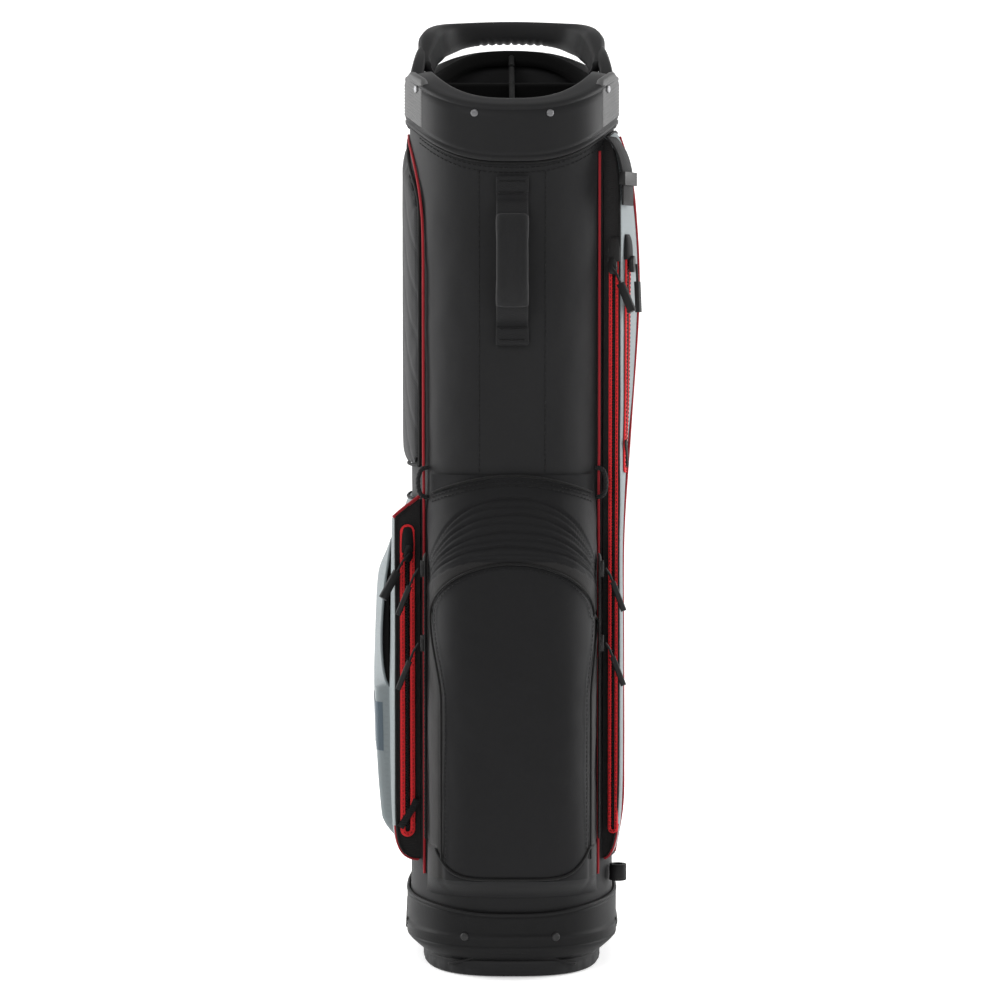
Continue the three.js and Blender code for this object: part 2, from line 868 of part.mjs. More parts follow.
// A layer over the left pocket between two offsets from its face, over part of its width and height.
function pouchLayer(low, high, fromShare, toShare, fromHeight, toHeight, across, up) {
  const at = (offset) => (s, v) => {
    const share = mix(fromShare, toShare, s);
    const height = mix(fromHeight, toHeight, v);
    const middle = Math.sin(Math.PI * THREE.MathUtils.clamp(share, 0, 1)) ** 0.5;
    const depth = leftDepth(THREE.MathUtils.clamp(share, 0, 1), height);
    const degrees = mix(-leftFrontAngle, -leftBackAngle, share);
    const z = mix(leftBottomHeight, leftTopHeight, height);
    return onBody(degrees, depth + offset * mix(0.75, 1, middle * fullness(height, 4, 1)), z);
  };
  return slab(across, up, at(high), at(low));
}

function leftPouch() {
  const body = pouchLayer(pouchGap, pouchDepth, pouchFront, pouchBack, pouchBottom, pouchTop, 9, 8);
  const mouth = (pouchMouthHeight - leftBottomHeight) / (leftTopHeight - leftBottomHeight);
  const low = pouchGap + pouchWall;
  const high = pouchDepth - pouchWall;
  const well = pouchLayer(low, high, pouchFront + 0.08, pouchBack - 0.05, pouchBottom + 0.06, 1, 7, 7);
  const slit = pouchLayer(low, high, -0.1, 0.5, mouth, 1, 4, 4);
  return cut(body, well, slit);
}

function rightDepth(s, v) {
  const z = mix(rightBottomHeight, rightTopHeight, v);
  const swell = Math.exp(-(((z - rightBulgeHeight) / rightBulgeSpread) ** 2));
  const middle = (rightLowBulge + rightHighBulge * swell) * fullness(v, 10, 0.5);
  const front = rightGussetDepth * fullness(v, 12, 0.6);
  const along = s < 0.4 ? mix(front, middle, smooth(s / 0.4)) : mix(middle, 3, smooth((s - 0.4) / 0.6));
  return clearance + Math.max(2, along);
}

function rightPocket() {
  return wrapped({
    from: rightFrontAngle,
    to: rightBackAngle,
    bottom: rightBottomHeight,
    top: (s) => rightTopHeight + 4 * Math.sin(Math.PI * s) - 8,
    thickness: rightDepth,
    across: 14,
    up: 14,
  });
}

place("left_pocket", leftPocket(), "silverFabric");
place("left_pouch", leftPouch(), "silverFabric");
place("right_pocket", rightPocket(), "silverFabric");

// ---- pads ----
const sidePad = wrapped({
  from: -61,
  to: -120,
  bottom: sidePadBottomHeight,
  top: sidePadTopHeight,
  thickness: (s, v) => clearance + sidePadThickness * Math.max(0.35, fullness(s, 6, 0.5) * fullness(v, 12, 0.5)),
  across: 10,
  up: 8,
});
place("side_pad", sidePad, "greyMesh");

function hipPad() {
  const back = bodyHalfDepth + clearance;
  return slab(
    8,
    8,
    (s, v) => {
      const x = hipPadHalfWidth * (2 * s - 1);
      const crown = fullness(s, 5, 0.5) * fullness(v, 8, 0.5);
      const z = mix(hipPadBottomHeight, hipPadTopHeight, v);
      return vector(x, back + hipPadThickness * Math.max(0.3, crown), z);
    },
    (s, v) => {
      const x = hipPadHalfWidth * (2 * s - 1);
      return vector(x, back, mix(hipPadBottomHeight, hipPadTopHeight, v));
    },
  );
}
place("hip_pad", hipPad(), "greyMesh");

// ---- double shoulder strap, lying down the back ----
const strapBack = bodyHalfDepth + clearance + hipPadThickness + 1.5;

function shoulderCurve(side) {
  const y = strapBack + shoulderThickness / 2;
  return smoothCurve([
    vector(side * shoulderX, y - 3, shoulderTopHeight),
    vector(side * shoulderX, y, mix(shoulderTopHeight, shoulderBottomHeight, 0.3)),
    vector(side * shoulderX, y + 1, mix(shoulderTopHeight, shoulderBottomHeight, 0.6)),
    vector(side * shoulderX, y, shoulderBottomHeight),
  ]);
}

function strapWebbing(points) {
  return band(smoothCurve(points), 10, webbingWidth, webbingThickness, vector(1, 0, 0));
}

const padMiddle = strapBack + shoulderThickness / 2;
for (const [name, side] of [
  ["left", -1],
  ["right", 1],
]) {
  const x = side * shoulderX;
  const pad = band(shoulderCurve(side), 8, shoulderWidth, shoulderThickness, vector(1, 0, 0), 5);
  place(`shoulder_pad_${name}`, pad, "blackFabric");
  const upper = strapWebbing([
    vector(x, padMiddle - 3, shoulderTopHeight + clearance),
    vector(x, padMiddle - 4, shoulderTopHeight + 20),
    vector(x, legPivotY + 10, legPivotZ - bracketHeight / 2 - 4),
  ]);
  place(`strap_webbing_upper_${name}`, upper, "webbing");
  const skinBack = bodyHalfDepth + 4 * clearance + webbingThickness / 2;
  const lower = strapWebbing([
    vector(x, padMiddle, shoulderBottomHeight - clearance),
    vector(x, padMiddle - 1, shoulderBottomHeight - 40),
    vector(x, padMiddle - 4, hipPadBottomHeight - 30),
    vector(x, skinBack + 4, hipPadBottomHeight - 80),
    vector(x, skinBack, hipPadBottomHeight - 105),
    vector(x, skinBack, hipPadBottomHeight - 145),
  ]);
  place(`strap_webbing_lower_${name}`, lower, "webbing");
}

// ---- legs ----
function legFrame(side) {
  const pivot = vector(side * legPivotX, legPivotY, legPivotZ);
  const foot = onBody(side * legFootAngle, legFootStandoff, legFootZ);
  const along = foot.clone().sub(pivot).normalize();
  const spread = vector(side * legSpread[0], legSpread[1], 0);
  const axis = along.clone().cross(spread).normalize();
  return { pivot, foot, along, axis };
}

function legKnuckle({ pivot, along, axis }) {
  const at = (distance) => pivot.clone().addScaledVector(along, distance);
  const barrel = rod(
    pivot.clone().addScaledVector(axis, -knuckleHalfLength),
    pivot.clone().addScaledVector(axis, knuckleHalfLength),
    knuckleRadius,
    20,
  );
  const socket = rod(at(2), at(socketLength), socketRadius);
  const bore = rod(
    pivot.clone().addScaledVector(axis, -3 * knuckleHalfLength),
    pivot.clone().addScaledVector(axis, 3 * knuckleHalfLength),
    legPin + clearance,
  );
  const tubeBore = rod(at(socketLength - 30), at(socketLength + 5), legTubeRadius + clearance);
  return cut(join(barrel, socket), bore, tubeBore);
}

for (const [name, side] of [
  ["left", -1],
  ["right", 1],
]) {
  const leg = legFrame(side);
  const length = leg.foot.distanceTo(leg.pivot);
  const at = (distance) => leg.pivot.clone().addScaledVector(leg.along, distance);
  place(`leg_knuckle_${name}`, legKnuckle(leg), "moulding");
  const tube = cut(
    rod(at(socketLength - 29), at(length - footLength + 18), legTubeRadius),
    rod(at(socketLength - 35), at(length - footLength + 25), legTubeRadius - legTubeWall),
  );
  place(`leg_tube_${name}`, tube, "aluminium");
  const foot = cut(
    rod(at(length - footLength), at(length), footRadius),
    rod(at(length - footLength - 5), at(length - footLength + 18.6), legTubeRadius + clearance),
  );
  place(`leg_foot_${name}`, foot, "rubber");
  // the axis points across +X on the right leg and -X on the left, so inwards is against it on both
  const inward = leg.axis.x * side > 0 ? -1 : 1;
  const pin = rod(
    leg.pivot.clone().addScaledVector(leg.axis, -inward * knuckleHalfLength),
    leg.pivot.clone().addScaledVector(leg.axis, inward * (legHalfRoom + 14)),
    legPin,
  );
  place(`leg_pin_${name}`, pin, "steel");
}

function legBracket() {
  const front = bodyHalfDepth + clearance;
  const plate = box(
    [-bracketHalfWidth, front, legPivotZ - bracketHeight / 2],
    [bracketHalfWidth, front + bracketThickness, legPivotZ + bracketHeight / 2],
  );
  const bosses = [-1, 1].map((side) => {
    const { pivot, axis } = legFrame(side);
    const inward = axis.x * side > 0 ? -1 : 1;
    return rod(
      pivot.clone().addScaledVector(axis, inward * (legHalfRoom + clearance)),
      pivot.clone().addScaledVector(axis, inward * (legHalfRoom + 26)),
      knuckleRadius,
      20,
    );
  });
  const holes = [-1, 1].map((side) => {
    const { pivot, axis } = legFrame(side);
    const inward = axis.x * side > 0 ? -1 : 1;
    return rod(
      pivot.clone(),
      pivot.clone().addScaledVector(axis, inward * (legHalfRoom + 15)),
      legPin + clearance,
    );
  });
  return cut(join(plate, ...bosses), ...holes);
}
place("leg_bracket", legBracket(), "moulding");

// ---- actuator: a U of spring wire with a yoke across its top ----
function actuatorWire() {
  const half = [vector(wireX, wireY, wireTopZ)];
  for (let step = 0; step <= 4; step += 1) {
    const turn = (step / 4) * (Math.PI / 2);
    const x = wireX - wireBend * (1 - Math.cos(turn));
    half.push(vector(x, wireY, wireBottomZ + wireBend * (1 - Math.sin(turn))));
  }
  const mirrored = half.map((p) => vector(-p.x, p.y, p.z));
  return bar([...half, ...mirrored.reverse()], wireRadius, 10);
}

function actuatorYoke() {
  const { pivot, foot } = legFrame(1);
  const legX = mix(pivot.x, foot.x, (pivot.z - wireTopZ) / (pivot.z - foot.z));
  const half = legX - legTubeRadius - yokeLegGap;
  const bottom = wireTopZ - yokeHeight + 3;
  const cross = box(
    [-half, wireY - yokeThickness / 2, bottom],
    [half, wireY + yokeThickness / 2, bottom + yokeHeight],
  );
  const room = box(
    [-wireX + 8, wireY - yokeThickness, bottom - 5],
    [wireX - 8, bodyHalfDepth + clearance + 3.5, bottom + yokeHeight + 5],
  );
  const sockets = [-1, 1].map((side) =>
    rod(
      vector(side * wireX, wireY, bottom - 5),
      vector(side * wireX, wireY, wireTopZ + clearance),
      wireRadius + clearance,
    ),
  );
  return cut(cross, room, ...sockets);
}
place("actuator_wire", actuatorWire(), "steel");
place("actuator_yoke", actuatorYoke(), "moulding");

// ---- treadle under the back of the boot ----
function treadleOutline(low, high, inset) {
  const halfWidth = bootHalfWidth - 6 - inset;
  const halfDepth = treadleBack - inset;
  const oval = ovalSolid([
    [halfWidth, halfDepth, low],
    [halfWidth, halfDepth, high],
  ]);
  const kept = box(
    [-treadleHalfWidth + inset, treadlePivotY + (inset ? 10 : 0), -10],
    [treadleHalfWidth - inset, 2 * treadleBack, 60],
  );
  return common(oval, kept);
}

function treadle() {
  const plate = treadleOutline(treadlePad + clearance, treadleTop, 0);
  const barrel = rod(
    vector(-treadleHalfWidth, treadlePivotY, treadlePivotZ),
    vector(treadleHalfWidth, treadlePivotY, treadlePivotZ),
    treadleBarrel,
  );
  const bore = rod(
    vector(-treadleHalfWidth - 5, treadlePivotY, treadlePivotZ),
    vector(treadleHalfWidth + 5, treadlePivotY, treadlePivotZ),
    treadlePin + clearance,
  );
  return cut(join(plate, barrel), bore);
}
place("treadle", treadle(), "moulding");
place("treadle_pad", treadleOutline(0, treadlePad, 3), "rubber");
place(
  "treadle_pin",
  rod(
    vector(-treadleHalfWidth - lugWidth + 1, treadlePivotY, treadlePivotZ),
    vector(treadleHalfWidth + lugWidth - 1, treadlePivotY, treadlePivotZ),
    treadlePin,
  ),
  "steel",
);

// ---- strap loops beside the ball pocket ----
for (const [name, side] of [
  ["left", -1],
  ["right", 1],
]) {
  const degrees = side * loopAngle;
  const low = loopMiddleHeight - loopHeight / 2;
  const high = loopMiddleHeight + loopHeight / 2;
  const near = clearance + loopRadius;
  const points = [
    onBody(degrees, near, low - 4),
    onBody(degrees, near + 0.5, low),
    onBody(degrees, loopReach, low + 7),
    onBody(degrees, loopReach, high - 7),
    onBody(degrees, near + 0.5, high),
    onBody(degrees, near, high + 4),
  ];
  place(`strap_loop_${name}`, bar(points, loopRadius, 8), "webbing");
}

// ---- umbrella cup by the boot ----
function umbrellaCup() {
  const low = bootTopHeight + cupFootGap;
  const middle = onBody(cupAngle, clearance + cupRadius + 0.6, 0);
  const at = (z) => vector(middle.x, middle.y, z);
  return cut(
    rod(at(low), at(low + cupHeight), cupRadius, 20),
    rod(at(low + 3), at(low + cupHeight + 5), cupBore),
  );
}
place("umbrella_cup", umbrellaCup(), "moulding");

// ---- adjuster strap under the right of the collar ----
const adjusterTopHeight = seamHeight(radians(adjusterAngle)) - adjusterSeamGap;
const adjusterBottomHeight = adjusterTopHeight - adjusterLength;
function adjusterPoint(offset, z) {
  return onBody(adjusterAngle, offset, z);
}
const adjusterAcross = vector(0, 0, 1).cross(bodyNormal(adjusterAngle));
const adjusterSkin = clearance + rightGussetDepth + 2;

// The strap comes out from under the collar and over the pocket's shoulder.
function adjusterRoute(from) {
  const route = [
    adjusterPoint(5, adjusterTopHeight),
    adjusterPoint(8, adjusterTopHeight - 3),
    adjusterPoint(adjusterSkin - 6, adjusterTopHeight - 14),
    adjusterPoint(adjusterSkin - 1.5, adjusterTopHeight - 28),
    adjusterPoint(adjusterSkin, adjusterBottomHeight + 20),
    adjusterPoint(adjusterSkin, adjusterBottomHeight),
  ];
  return smoothCurve(route.slice(from));
}
const adjusterWebbing = band(adjusterRoute(0), 12, webbingWidth, webbingThickness, adjusterAcross);

function adjusterBuckle() {
  const middle = adjusterPoint(adjusterSkin + 0.6, adjusterTopHeight - 26 - buckleHeight);
  const frame = new THREE.BoxGeometry(buckleWidth, buckleThickness, buckleHeight);
  const turn = Math.atan2(adjusterAcross.y, adjusterAcross.x);
  frame.rotateZ(turn).translate(middle.x, middle.y, middle.z);
  const slot = band(adjusterRoute(2), 10, webbingWidth + 1, webbingThickness + 1.4, adjusterAcross);
  return cut(frame, slot);
}
place("adjuster_webbing", adjusterWebbing, "webbing");
place("adjuster_buckle", adjusterBuckle(), "moulding");

// ---- zip sliders and their pulls ----

// A slider lies on a face: out is away from the face, across is along the face, its travel is down.
function zipSlider(point, out) {
  const half = [sliderWidth / 2, sliderThickness / 2, sliderLength / 2];
  const rings = [
    [0.55, -1],
    [1, -0.3],
    [0.9, 0.4],
    [0.45, 1],
  ].map(([share, level]) =>
    [
      [-1, -1],
      [1, -1],
      [1, 1],
      [-1, 1],
    ].map(([u, v]) => vector(u * half[0] * share, v * half[1], level * half[2])),
  );
  const turn = Math.atan2(out.x, -out.y);
  return skin(rings).rotateZ(turn).translate(point.x, point.y, point.z);
}

// Where a pull's cord is tied: just in front of its slider.
function knotOf(point, out) {
  return point.clone().addScaledVector(out, sliderThickness / 2 + pullCordRadius + 0.5);
}

// A pull hangs from its slider: a thin cord, then a moulded grip, leaning out by a sideways run.
function zipPull(point, out, lean, drop) {
  const knot = knotOf(point, out);
  const end = knot.clone().add(lean).add(vector(0, 0, -drop));
  const middle = knot.clone().lerp(end, 0.5).add(vector(0, 0, 2));
  const cord = bar([knot, knot.clone().lerp(middle, 0.5), middle, end], pullCordRadius, 6);
  const down = end.clone().sub(middle).normalize();
  const across = out.clone().cross(down).normalize();
  const grip = band(
    new THREE.LineCurve3(
      end.clone().addScaledVector(down, -2),
      end.clone().addScaledVector(down, pullGripLength),
    ),
    1,
    pullGripWidth,
    pullGripThickness,
    across,
    1.8,
  );
  return join(cord, grip);
}

// Where each zip slider rests: a point on its face and the way that face looks.
function gussetZip(degrees, depth, z) {
  const toFront = vector(0, 0, 1).cross(bodyNormal(degrees)).multiplyScalar(degrees > 0 ? -1 : 1);
  const point = onBody(degrees, depth, z);
  return [point.addScaledVector(toFront, sliderThickness / 2 + clearance + 0.6), toFront];
}

function ballZip(side, z) {
  const face = vector(side, 0, 0);
  const base = onBody(ballHalfAngle, 0, 0).y;
  return [vector(side * (ballHalfWidth + sliderThickness / 2 + clearance + 0.6), base - 24, z), face];
}

const rightPanelOut = bodyNormal(rightFrontAngle + 7);
const zips = [
  ["ball_zip_upper_left", ...ballZip(-1, 374), vector(-9, -3, 0), 18],
  ["ball_zip_lower_left", ...ballZip(-1, 306), vector(-9, -3, 0), 18],
  ["ball_zip_upper_right", ...ballZip(1, 374), vector(7, -3, 0), 14],
  ["ball_zip_lower_right", ...ballZip(1, 306), vector(7, -3, 0), 14],
  ["left_zip", ...gussetZip(-leftFrontAngle, 14, 386), vector(-12, -7, 0), 18],
  ["right_long_zip", ...gussetZip(rightFrontAngle, 11, 648), vector(9, -6, 0), 18],
  [
    "right_panel_zip",
    onBody(rightFrontAngle + 7, rightGussetDepth + 4.6, 650),
    rightPanelOut,
    rightPanelOut.clone(),
    18,
  ],
];
for (const [name, point, out, lean, drop] of zips) {
  place(`${name}_slider`, zipSlider(point, out), "steel");
  place(`${name}_pull`, zipPull(point, out, lean, drop), "rubber");
}

export default bag;
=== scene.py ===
# Looks of a golf stand bag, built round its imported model. Lengths are in millimetres until a mesh is made.
import math

import bmesh
import bpy
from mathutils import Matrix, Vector, noise


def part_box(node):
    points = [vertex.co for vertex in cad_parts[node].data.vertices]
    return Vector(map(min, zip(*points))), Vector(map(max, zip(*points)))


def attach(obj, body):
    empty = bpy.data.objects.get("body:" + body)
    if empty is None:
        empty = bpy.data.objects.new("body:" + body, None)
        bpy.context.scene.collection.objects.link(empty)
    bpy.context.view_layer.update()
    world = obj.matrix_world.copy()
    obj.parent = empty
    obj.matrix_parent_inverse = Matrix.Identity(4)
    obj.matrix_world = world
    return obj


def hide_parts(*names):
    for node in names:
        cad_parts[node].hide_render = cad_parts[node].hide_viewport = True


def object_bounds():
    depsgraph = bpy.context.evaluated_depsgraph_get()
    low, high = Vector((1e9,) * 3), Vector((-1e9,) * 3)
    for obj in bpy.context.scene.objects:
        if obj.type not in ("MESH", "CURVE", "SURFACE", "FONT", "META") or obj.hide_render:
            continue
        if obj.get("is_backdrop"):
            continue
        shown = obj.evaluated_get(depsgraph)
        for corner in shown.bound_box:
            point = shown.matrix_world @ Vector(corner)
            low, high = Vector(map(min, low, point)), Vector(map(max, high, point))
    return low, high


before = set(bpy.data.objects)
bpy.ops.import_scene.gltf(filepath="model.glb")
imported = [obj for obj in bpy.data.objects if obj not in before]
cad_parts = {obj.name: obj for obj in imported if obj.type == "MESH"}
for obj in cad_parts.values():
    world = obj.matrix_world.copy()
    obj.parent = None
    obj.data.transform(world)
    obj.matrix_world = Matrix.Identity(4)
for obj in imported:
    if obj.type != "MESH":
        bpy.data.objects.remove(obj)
cadLow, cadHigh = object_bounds()
scene = bpy.context.scene
mm = 0.001

# camera
camera = {"pitch": 3.5, "distance": 2700, "lens": 103.3, "aimX": -11, "aimZ": 430}
lens = bpy.data.cameras.new("camera")
lens.lens = camera["lens"]
lens.sensor_width = 36
lens.clip_end = 30
viewer = bpy.data.objects.new("camera", lens)
scene.collection.objects.link(viewer)
pitch = math.radians(camera["pitch"])
viewer.location = (
    camera["aimX"] * mm,
    -camera["distance"] * math.cos(pitch) * mm,
    (camera["aimZ"] + camera["distance"] * math.sin(pitch)) * mm,
)
viewer.rotation_euler = (math.radians(90) - pitch, 0, 0)
scene.camera = viewer


# shader maths
class Signal:
    # a shader socket that can stand in a sum
    def __init__(self, finish, socket):
        self.finish = finish
        self.socket = socket

    def maths(self, operation, first, second):
        return self.finish.node("Math", {"operation": operation}, {0: first, 1: second})

    def __add__(self, other):
        return self.maths("ADD", self, other)

    def __sub__(self, other):
        return self.maths("SUBTRACT", self, other)

    def __rsub__(self, other):
        return self.maths("SUBTRACT", other, self)

    def __mul__(self, other):
        return self.maths("MULTIPLY", self, other)


class Finish:
    # a material whose nodes are added one call at a time
    def __init__(self, name, settings):
        self.material = bpy.data.materials.new(name)
        self.material.use_nodes = True
        self.tree = self.material.node_tree
        self.surface = self.tree.nodes["Principled BSDF"]
        for socket, value in settings.items():
            self.surface.inputs[socket].default_value = value

    def node(self, kind, settings=None, inputs=None, output=0):
        made = self.tree.nodes.new("ShaderNode" + kind)
        for key, value in (settings or {}).items():
            setattr(made, key, value)
        for key, value in (inputs or {}).items():
            self.feed(made.inputs[key], value)
        return Signal(self, made.outputs[output])

    def feed(self, socket, value):
        if isinstance(value, Signal):
            self.tree.links.new(value.socket, socket)
        else:
            socket.default_value = value

    def wear(self, socket, value):
        self.feed(self.surface.inputs[socket], value)

    def place(self):
        return self.node("TexCoord", output="Object")

    def part(self, vector, letter):
        return self.node("SeparateXYZ", inputs={0: vector}, output=letter)

    def cloudy(self, vector, scale, detail=3, stretch=(1, 1, 1)):
        spread = self.node("VectorMath", {"operation": "MULTIPLY"}, {0: vector, 1: stretch})
        sizes = {"Vector": spread, "Scale": scale, "Detail": detail}
        return self.node("TexNoise", inputs=sizes, output="Fac")

    def sine(self, value):
        return self.node("Math", {"operation": "SINE"}, {0: value})

    def between(self, value, low, high, fromLow=0.0, fromHigh=1.0):
        sizes = {"Value": value, "From Min": fromLow, "From Max": fromHigh, "To Min": low, "To Max": high}
        return self.node("MapRange", inputs=sizes)

    def blend(self, share, first, second):
        return self.node("Mix", {"data_type": "RGBA"}, {0: share, 6: first, 7: second}, output=2)

    def relief(self, height, strength, depth):
        sizes = {"Height": height, "Strength": strength, "Distance": depth}
        self.wear("Normal", self.node("Bump", inputs=sizes))

    def around(self, place):
        # metres round the bag's upright axis, for threads that follow its sides
        turn = {0: self.part(place, "X"), 1: self.part(place, "Y")}
        return self.node("Math", {"operation": "ARCTAN2"}, turn) * 0.1


def shade(colour, share):
    return (colour[0] * share, colour[1] * share, colour[2] * share, 1)


def wovenCloth(name, look):
    # crossed threads, cloudy colour and a little lint
    settings = {"Sheen Weight": look["sheen"], "Sheen Roughness": 0.45, "Specular IOR Level": look["gloss"]}
    cloth = Finish(name, settings)
    place = cloth.place()
    rate = 2 * math.pi / (look["pitch"] * mm)
    warp = cloth.sine(cloth.around(place) * rate)
    weft = cloth.sine(cloth.part(place, "Z") * rate)
    weave = cloth.between(warp * weft, 0, 1, -1, 1)
    cloud = cloth.cloudy(place, 9, 4)
    lint = cloth.cloudy(place, 420, 2)
    tone = cloth.between(cloud + lint * 0.5 + weave * 0.35, 0, 1, 0.55, 1.3)
    dark = shade(look["colour"], 1 - look["variation"])
    pale = shade(look["colour"], 1 + look["variation"])
    colour = cloth.blend(tone, dark, pale)
    if "grid" in look:
        line = 2 * math.pi / (look["grid"] * mm)
        threads = cloth.sine(cloth.around(place) * line) + cloth.sine(cloth.part(place, "Z") * line)
        ripstop = cloth.between(threads, 0, 1, 1.0, 1.8)
        colour = cloth.blend(ripstop * 0.35, colour, shade(look["colour"], 0.82))
    cloth.wear("Base Color", colour)
    rough = cloth.between(cloud * 0.6 + weave * 0.4, look["rough"] - 0.08, look["rough"] + 0.06)
    cloth.wear("Roughness", rough)
    cloth.relief(weave + lint * 0.6, look["bump"], 0.0004)
    return cloth


def spacerMesh(name, look):
    # knitted mesh with round holes
    cloth = Finish(name, {"Sheen Weight": 0.08, "Specular IOR Level": 0.12})
    place = cloth.place()
    rate = 2 * math.pi / (look["pitch"] * mm)
    across = cloth.sine(cloth.around(place) * rate)
    down = cloth.sine(cloth.part(place, "Z") * rate)
    hole = cloth.between(across * down, 0, 1, 0.35, 0.75)
    cloud = cloth.cloudy(place, 12, 4)
    solid = cloth.blend(cloud, shade(look["colour"], 0.85), shade(look["colour"], 1.15))
    cloth.wear("Base Color", cloth.blend(hole, solid, shade(look["colour"], 0.35)))
    cloth.wear("Roughness", cloth.between(cloud, 0.8, 0.95))
    cloth.relief(1 - hole, 0.5, 0.0008)
    return cloth


def ribbedWebbing(name, look):
    # tightly woven straps, with fine ribs and a chevron of heavier threads
    strapping = Finish(name, {"Sheen Weight": 0.05, "Specular IOR Level": 0.2})
    place = strapping.place()
    rate = 2 * math.pi / (look["pitch"] * mm)
    level = strapping.part(place, "Z")
    ribs = strapping.sine((level + strapping.around(place) * 0.6) * rate)
    counter = strapping.sine((level - strapping.around(place) * 0.6) * rate)
    weave = strapping.between(ribs * 0.5 + counter * 0.5, 0, 1, -1, 1)
    fuzz = strapping.cloudy(place, 600, 2)
    tone = weave * 0.6 + fuzz * 0.5
    colour = strapping.blend(tone, shade(look["colour"], 0.7), shade(look["colour"], 1.35))
    strapping.wear("Base Color", colour)
    strapping.wear("Roughness", strapping.between(fuzz, 0.7, 0.9))
    strapping.relief(weave, 0.45, 0.0005)
    return strapping


def mouldedPlastic(name, look):
    # fine grain, handling marks and edges rubbed a little paler
    plastic = Finish(name, {"Specular IOR Level": look["gloss"], "Metallic": look.get("metal", 0.0)})
    place = plastic.place()
    grain = plastic.cloudy(place, look["grain"], 3)
    smear = plastic.cloudy(place, 14, 5)
    edge = plastic.node("NewGeometry", output="Pointiness")
    rubbed = plastic.between(edge, 0, 1, 0.515, 0.58)
    colour = plastic.blend(smear, shade(look["colour"], 0.88), shade(look["colour"], 1.14))
    worn = rubbed * smear * look["wear"]
    plastic.wear("Base Color", plastic.blend(worn, colour, shade(look["worn"], 1)))
    rough = plastic.between(smear + grain * 0.4, look["rough"] - 0.08, look["rough"] + 0.1, 0.4, 1.1)
    plastic.wear("Roughness", rough)
    plastic.relief(grain, look["bump"], 0.0003)
    return plastic


clothLook = ("colour", "pitch", "sheen", "gloss", "variation", "rough", "bump", "grid")
plasticLook = ("colour", "worn", "gloss", "grain", "wear", "rough", "bump", "metal")
cloths = {
    "tube": ("tubeCloth", (0.0105, 0.0105, 0.011), 1.3, 0.05, 0.16, 0.16, 0.66, 0.22),
    "pocket": ("pocketCloth", (0.0075, 0.0075, 0.008), 1.2, 0.04, 0.14, 0.16, 0.68, 0.22),
    "gusset": ("gussetCloth", (0.014, 0.0135, 0.0135), 1.6, 0.06, 0.16, 0.18, 0.74, 0.35),
    "silver": ("silverCloth", (0.15, 0.172, 0.178), 1.1, 0.08, 0.3, 0.08, 0.55, 0.2, 5.5),
    "slate": ("slateCloth", (0.055, 0.076, 0.094), 1.1, 0.08, 0.3, 0.1, 0.55, 0.2, 5.5),
    "lining": ("liningCloth", (0.004, 0.004, 0.004), 1.8, 0.02, 0.08, 0.2, 0.85, 0.3),
    "padding": ("paddingCloth", (0.0125, 0.0125, 0.013), 1.9, 0.08, 0.16, 0.16, 0.78, 0.5),
}
meshes = {
    "quilt": ("quiltMesh", (0.042, 0.042, 0.043), 2.6),
    "panelMesh": ("panelMesh", (0.05, 0.05, 0.051), 2.2),
}
webbings = {
    "webbing": ("webbing", (0.009, 0.009, 0.0095), 2.1),
    "redTape": ("redTape", (0.52, 0.018, 0.022), 1.5),
    "redPiping": ("redPiping", (0.22, 0.01, 0.015), 1.2),
    "blackPiping": ("blackPiping", (0.005, 0.005, 0.005), 1.2),
    "thread": ("sewingThread", (0.004, 0.004, 0.004), 0.8),
}
plastics = {
    "collar": ("collarMoulding", (0.0095, 0.0095, 0.01), (0.035, 0.035, 0.035), 0.16, 900, 0.5, 0.52, 0.15),
    "wing": ("wingMoulding", (0.062, 0.062, 0.062), (0.13, 0.13, 0.13), 0.3, 700, 0.6, 0.55, 0.2),
    "boot": ("bootMoulding", (0.0035, 0.0035, 0.0038), (0.02, 0.02, 0.02), 0.16, 650, 0.5, 0.56, 0.3),
    "rubber": ("softRubber", (0.008, 0.008, 0.0085), (0.025, 0.025, 0.025), 0.18, 500, 0.5, 0.62, 0.3),
    "steel": ("rivetSteel", (0.16, 0.16, 0.165), (0.3, 0.3, 0.3), 0.5, 1200, 0.7, 0.42, 0.1, 1.0),
    "bootRivet": ("darkRivet", (0.03, 0.03, 0.03), (0.08, 0.08, 0.08), 0.4, 1200, 0.7, 0.45, 0.1, 0.8),
    "leg": ("anodisedTube", (0.03, 0.03, 0.032), (0.2, 0.2, 0.2), 0.5, 1500, 0.5, 0.36, 0.08, 1.0),
    "zip": ("zipEnamel", (0.006, 0.006, 0.006), (0.05, 0.05, 0.05), 0.3, 900, 0.15, 0.45, 0.1, 0.2),
}
finishes = {}
for rows, keys, maker in (
    (cloths, clothLook, wovenCloth),
    (meshes, clothLook, spacerMesh),
    (webbings, clothLook, ribbedWebbing),
    (plastics, plasticLook, mouldedPlastic),
):
    for key, (name, *values) in rows.items():
        finishes[key] = maker(name, dict(zip(keys, values)))
print("finishes made")


# shape helpers
def mix(first, second, share):
    return first + (second - first) * share


def bend(value, power):
    # keeps the sign, for ovals with flatter sides
    return math.copysign(abs(value) ** power, value)


def ease(share):
    share = min(1, max(0, share))
    return share * share * (3 - 2 * share)


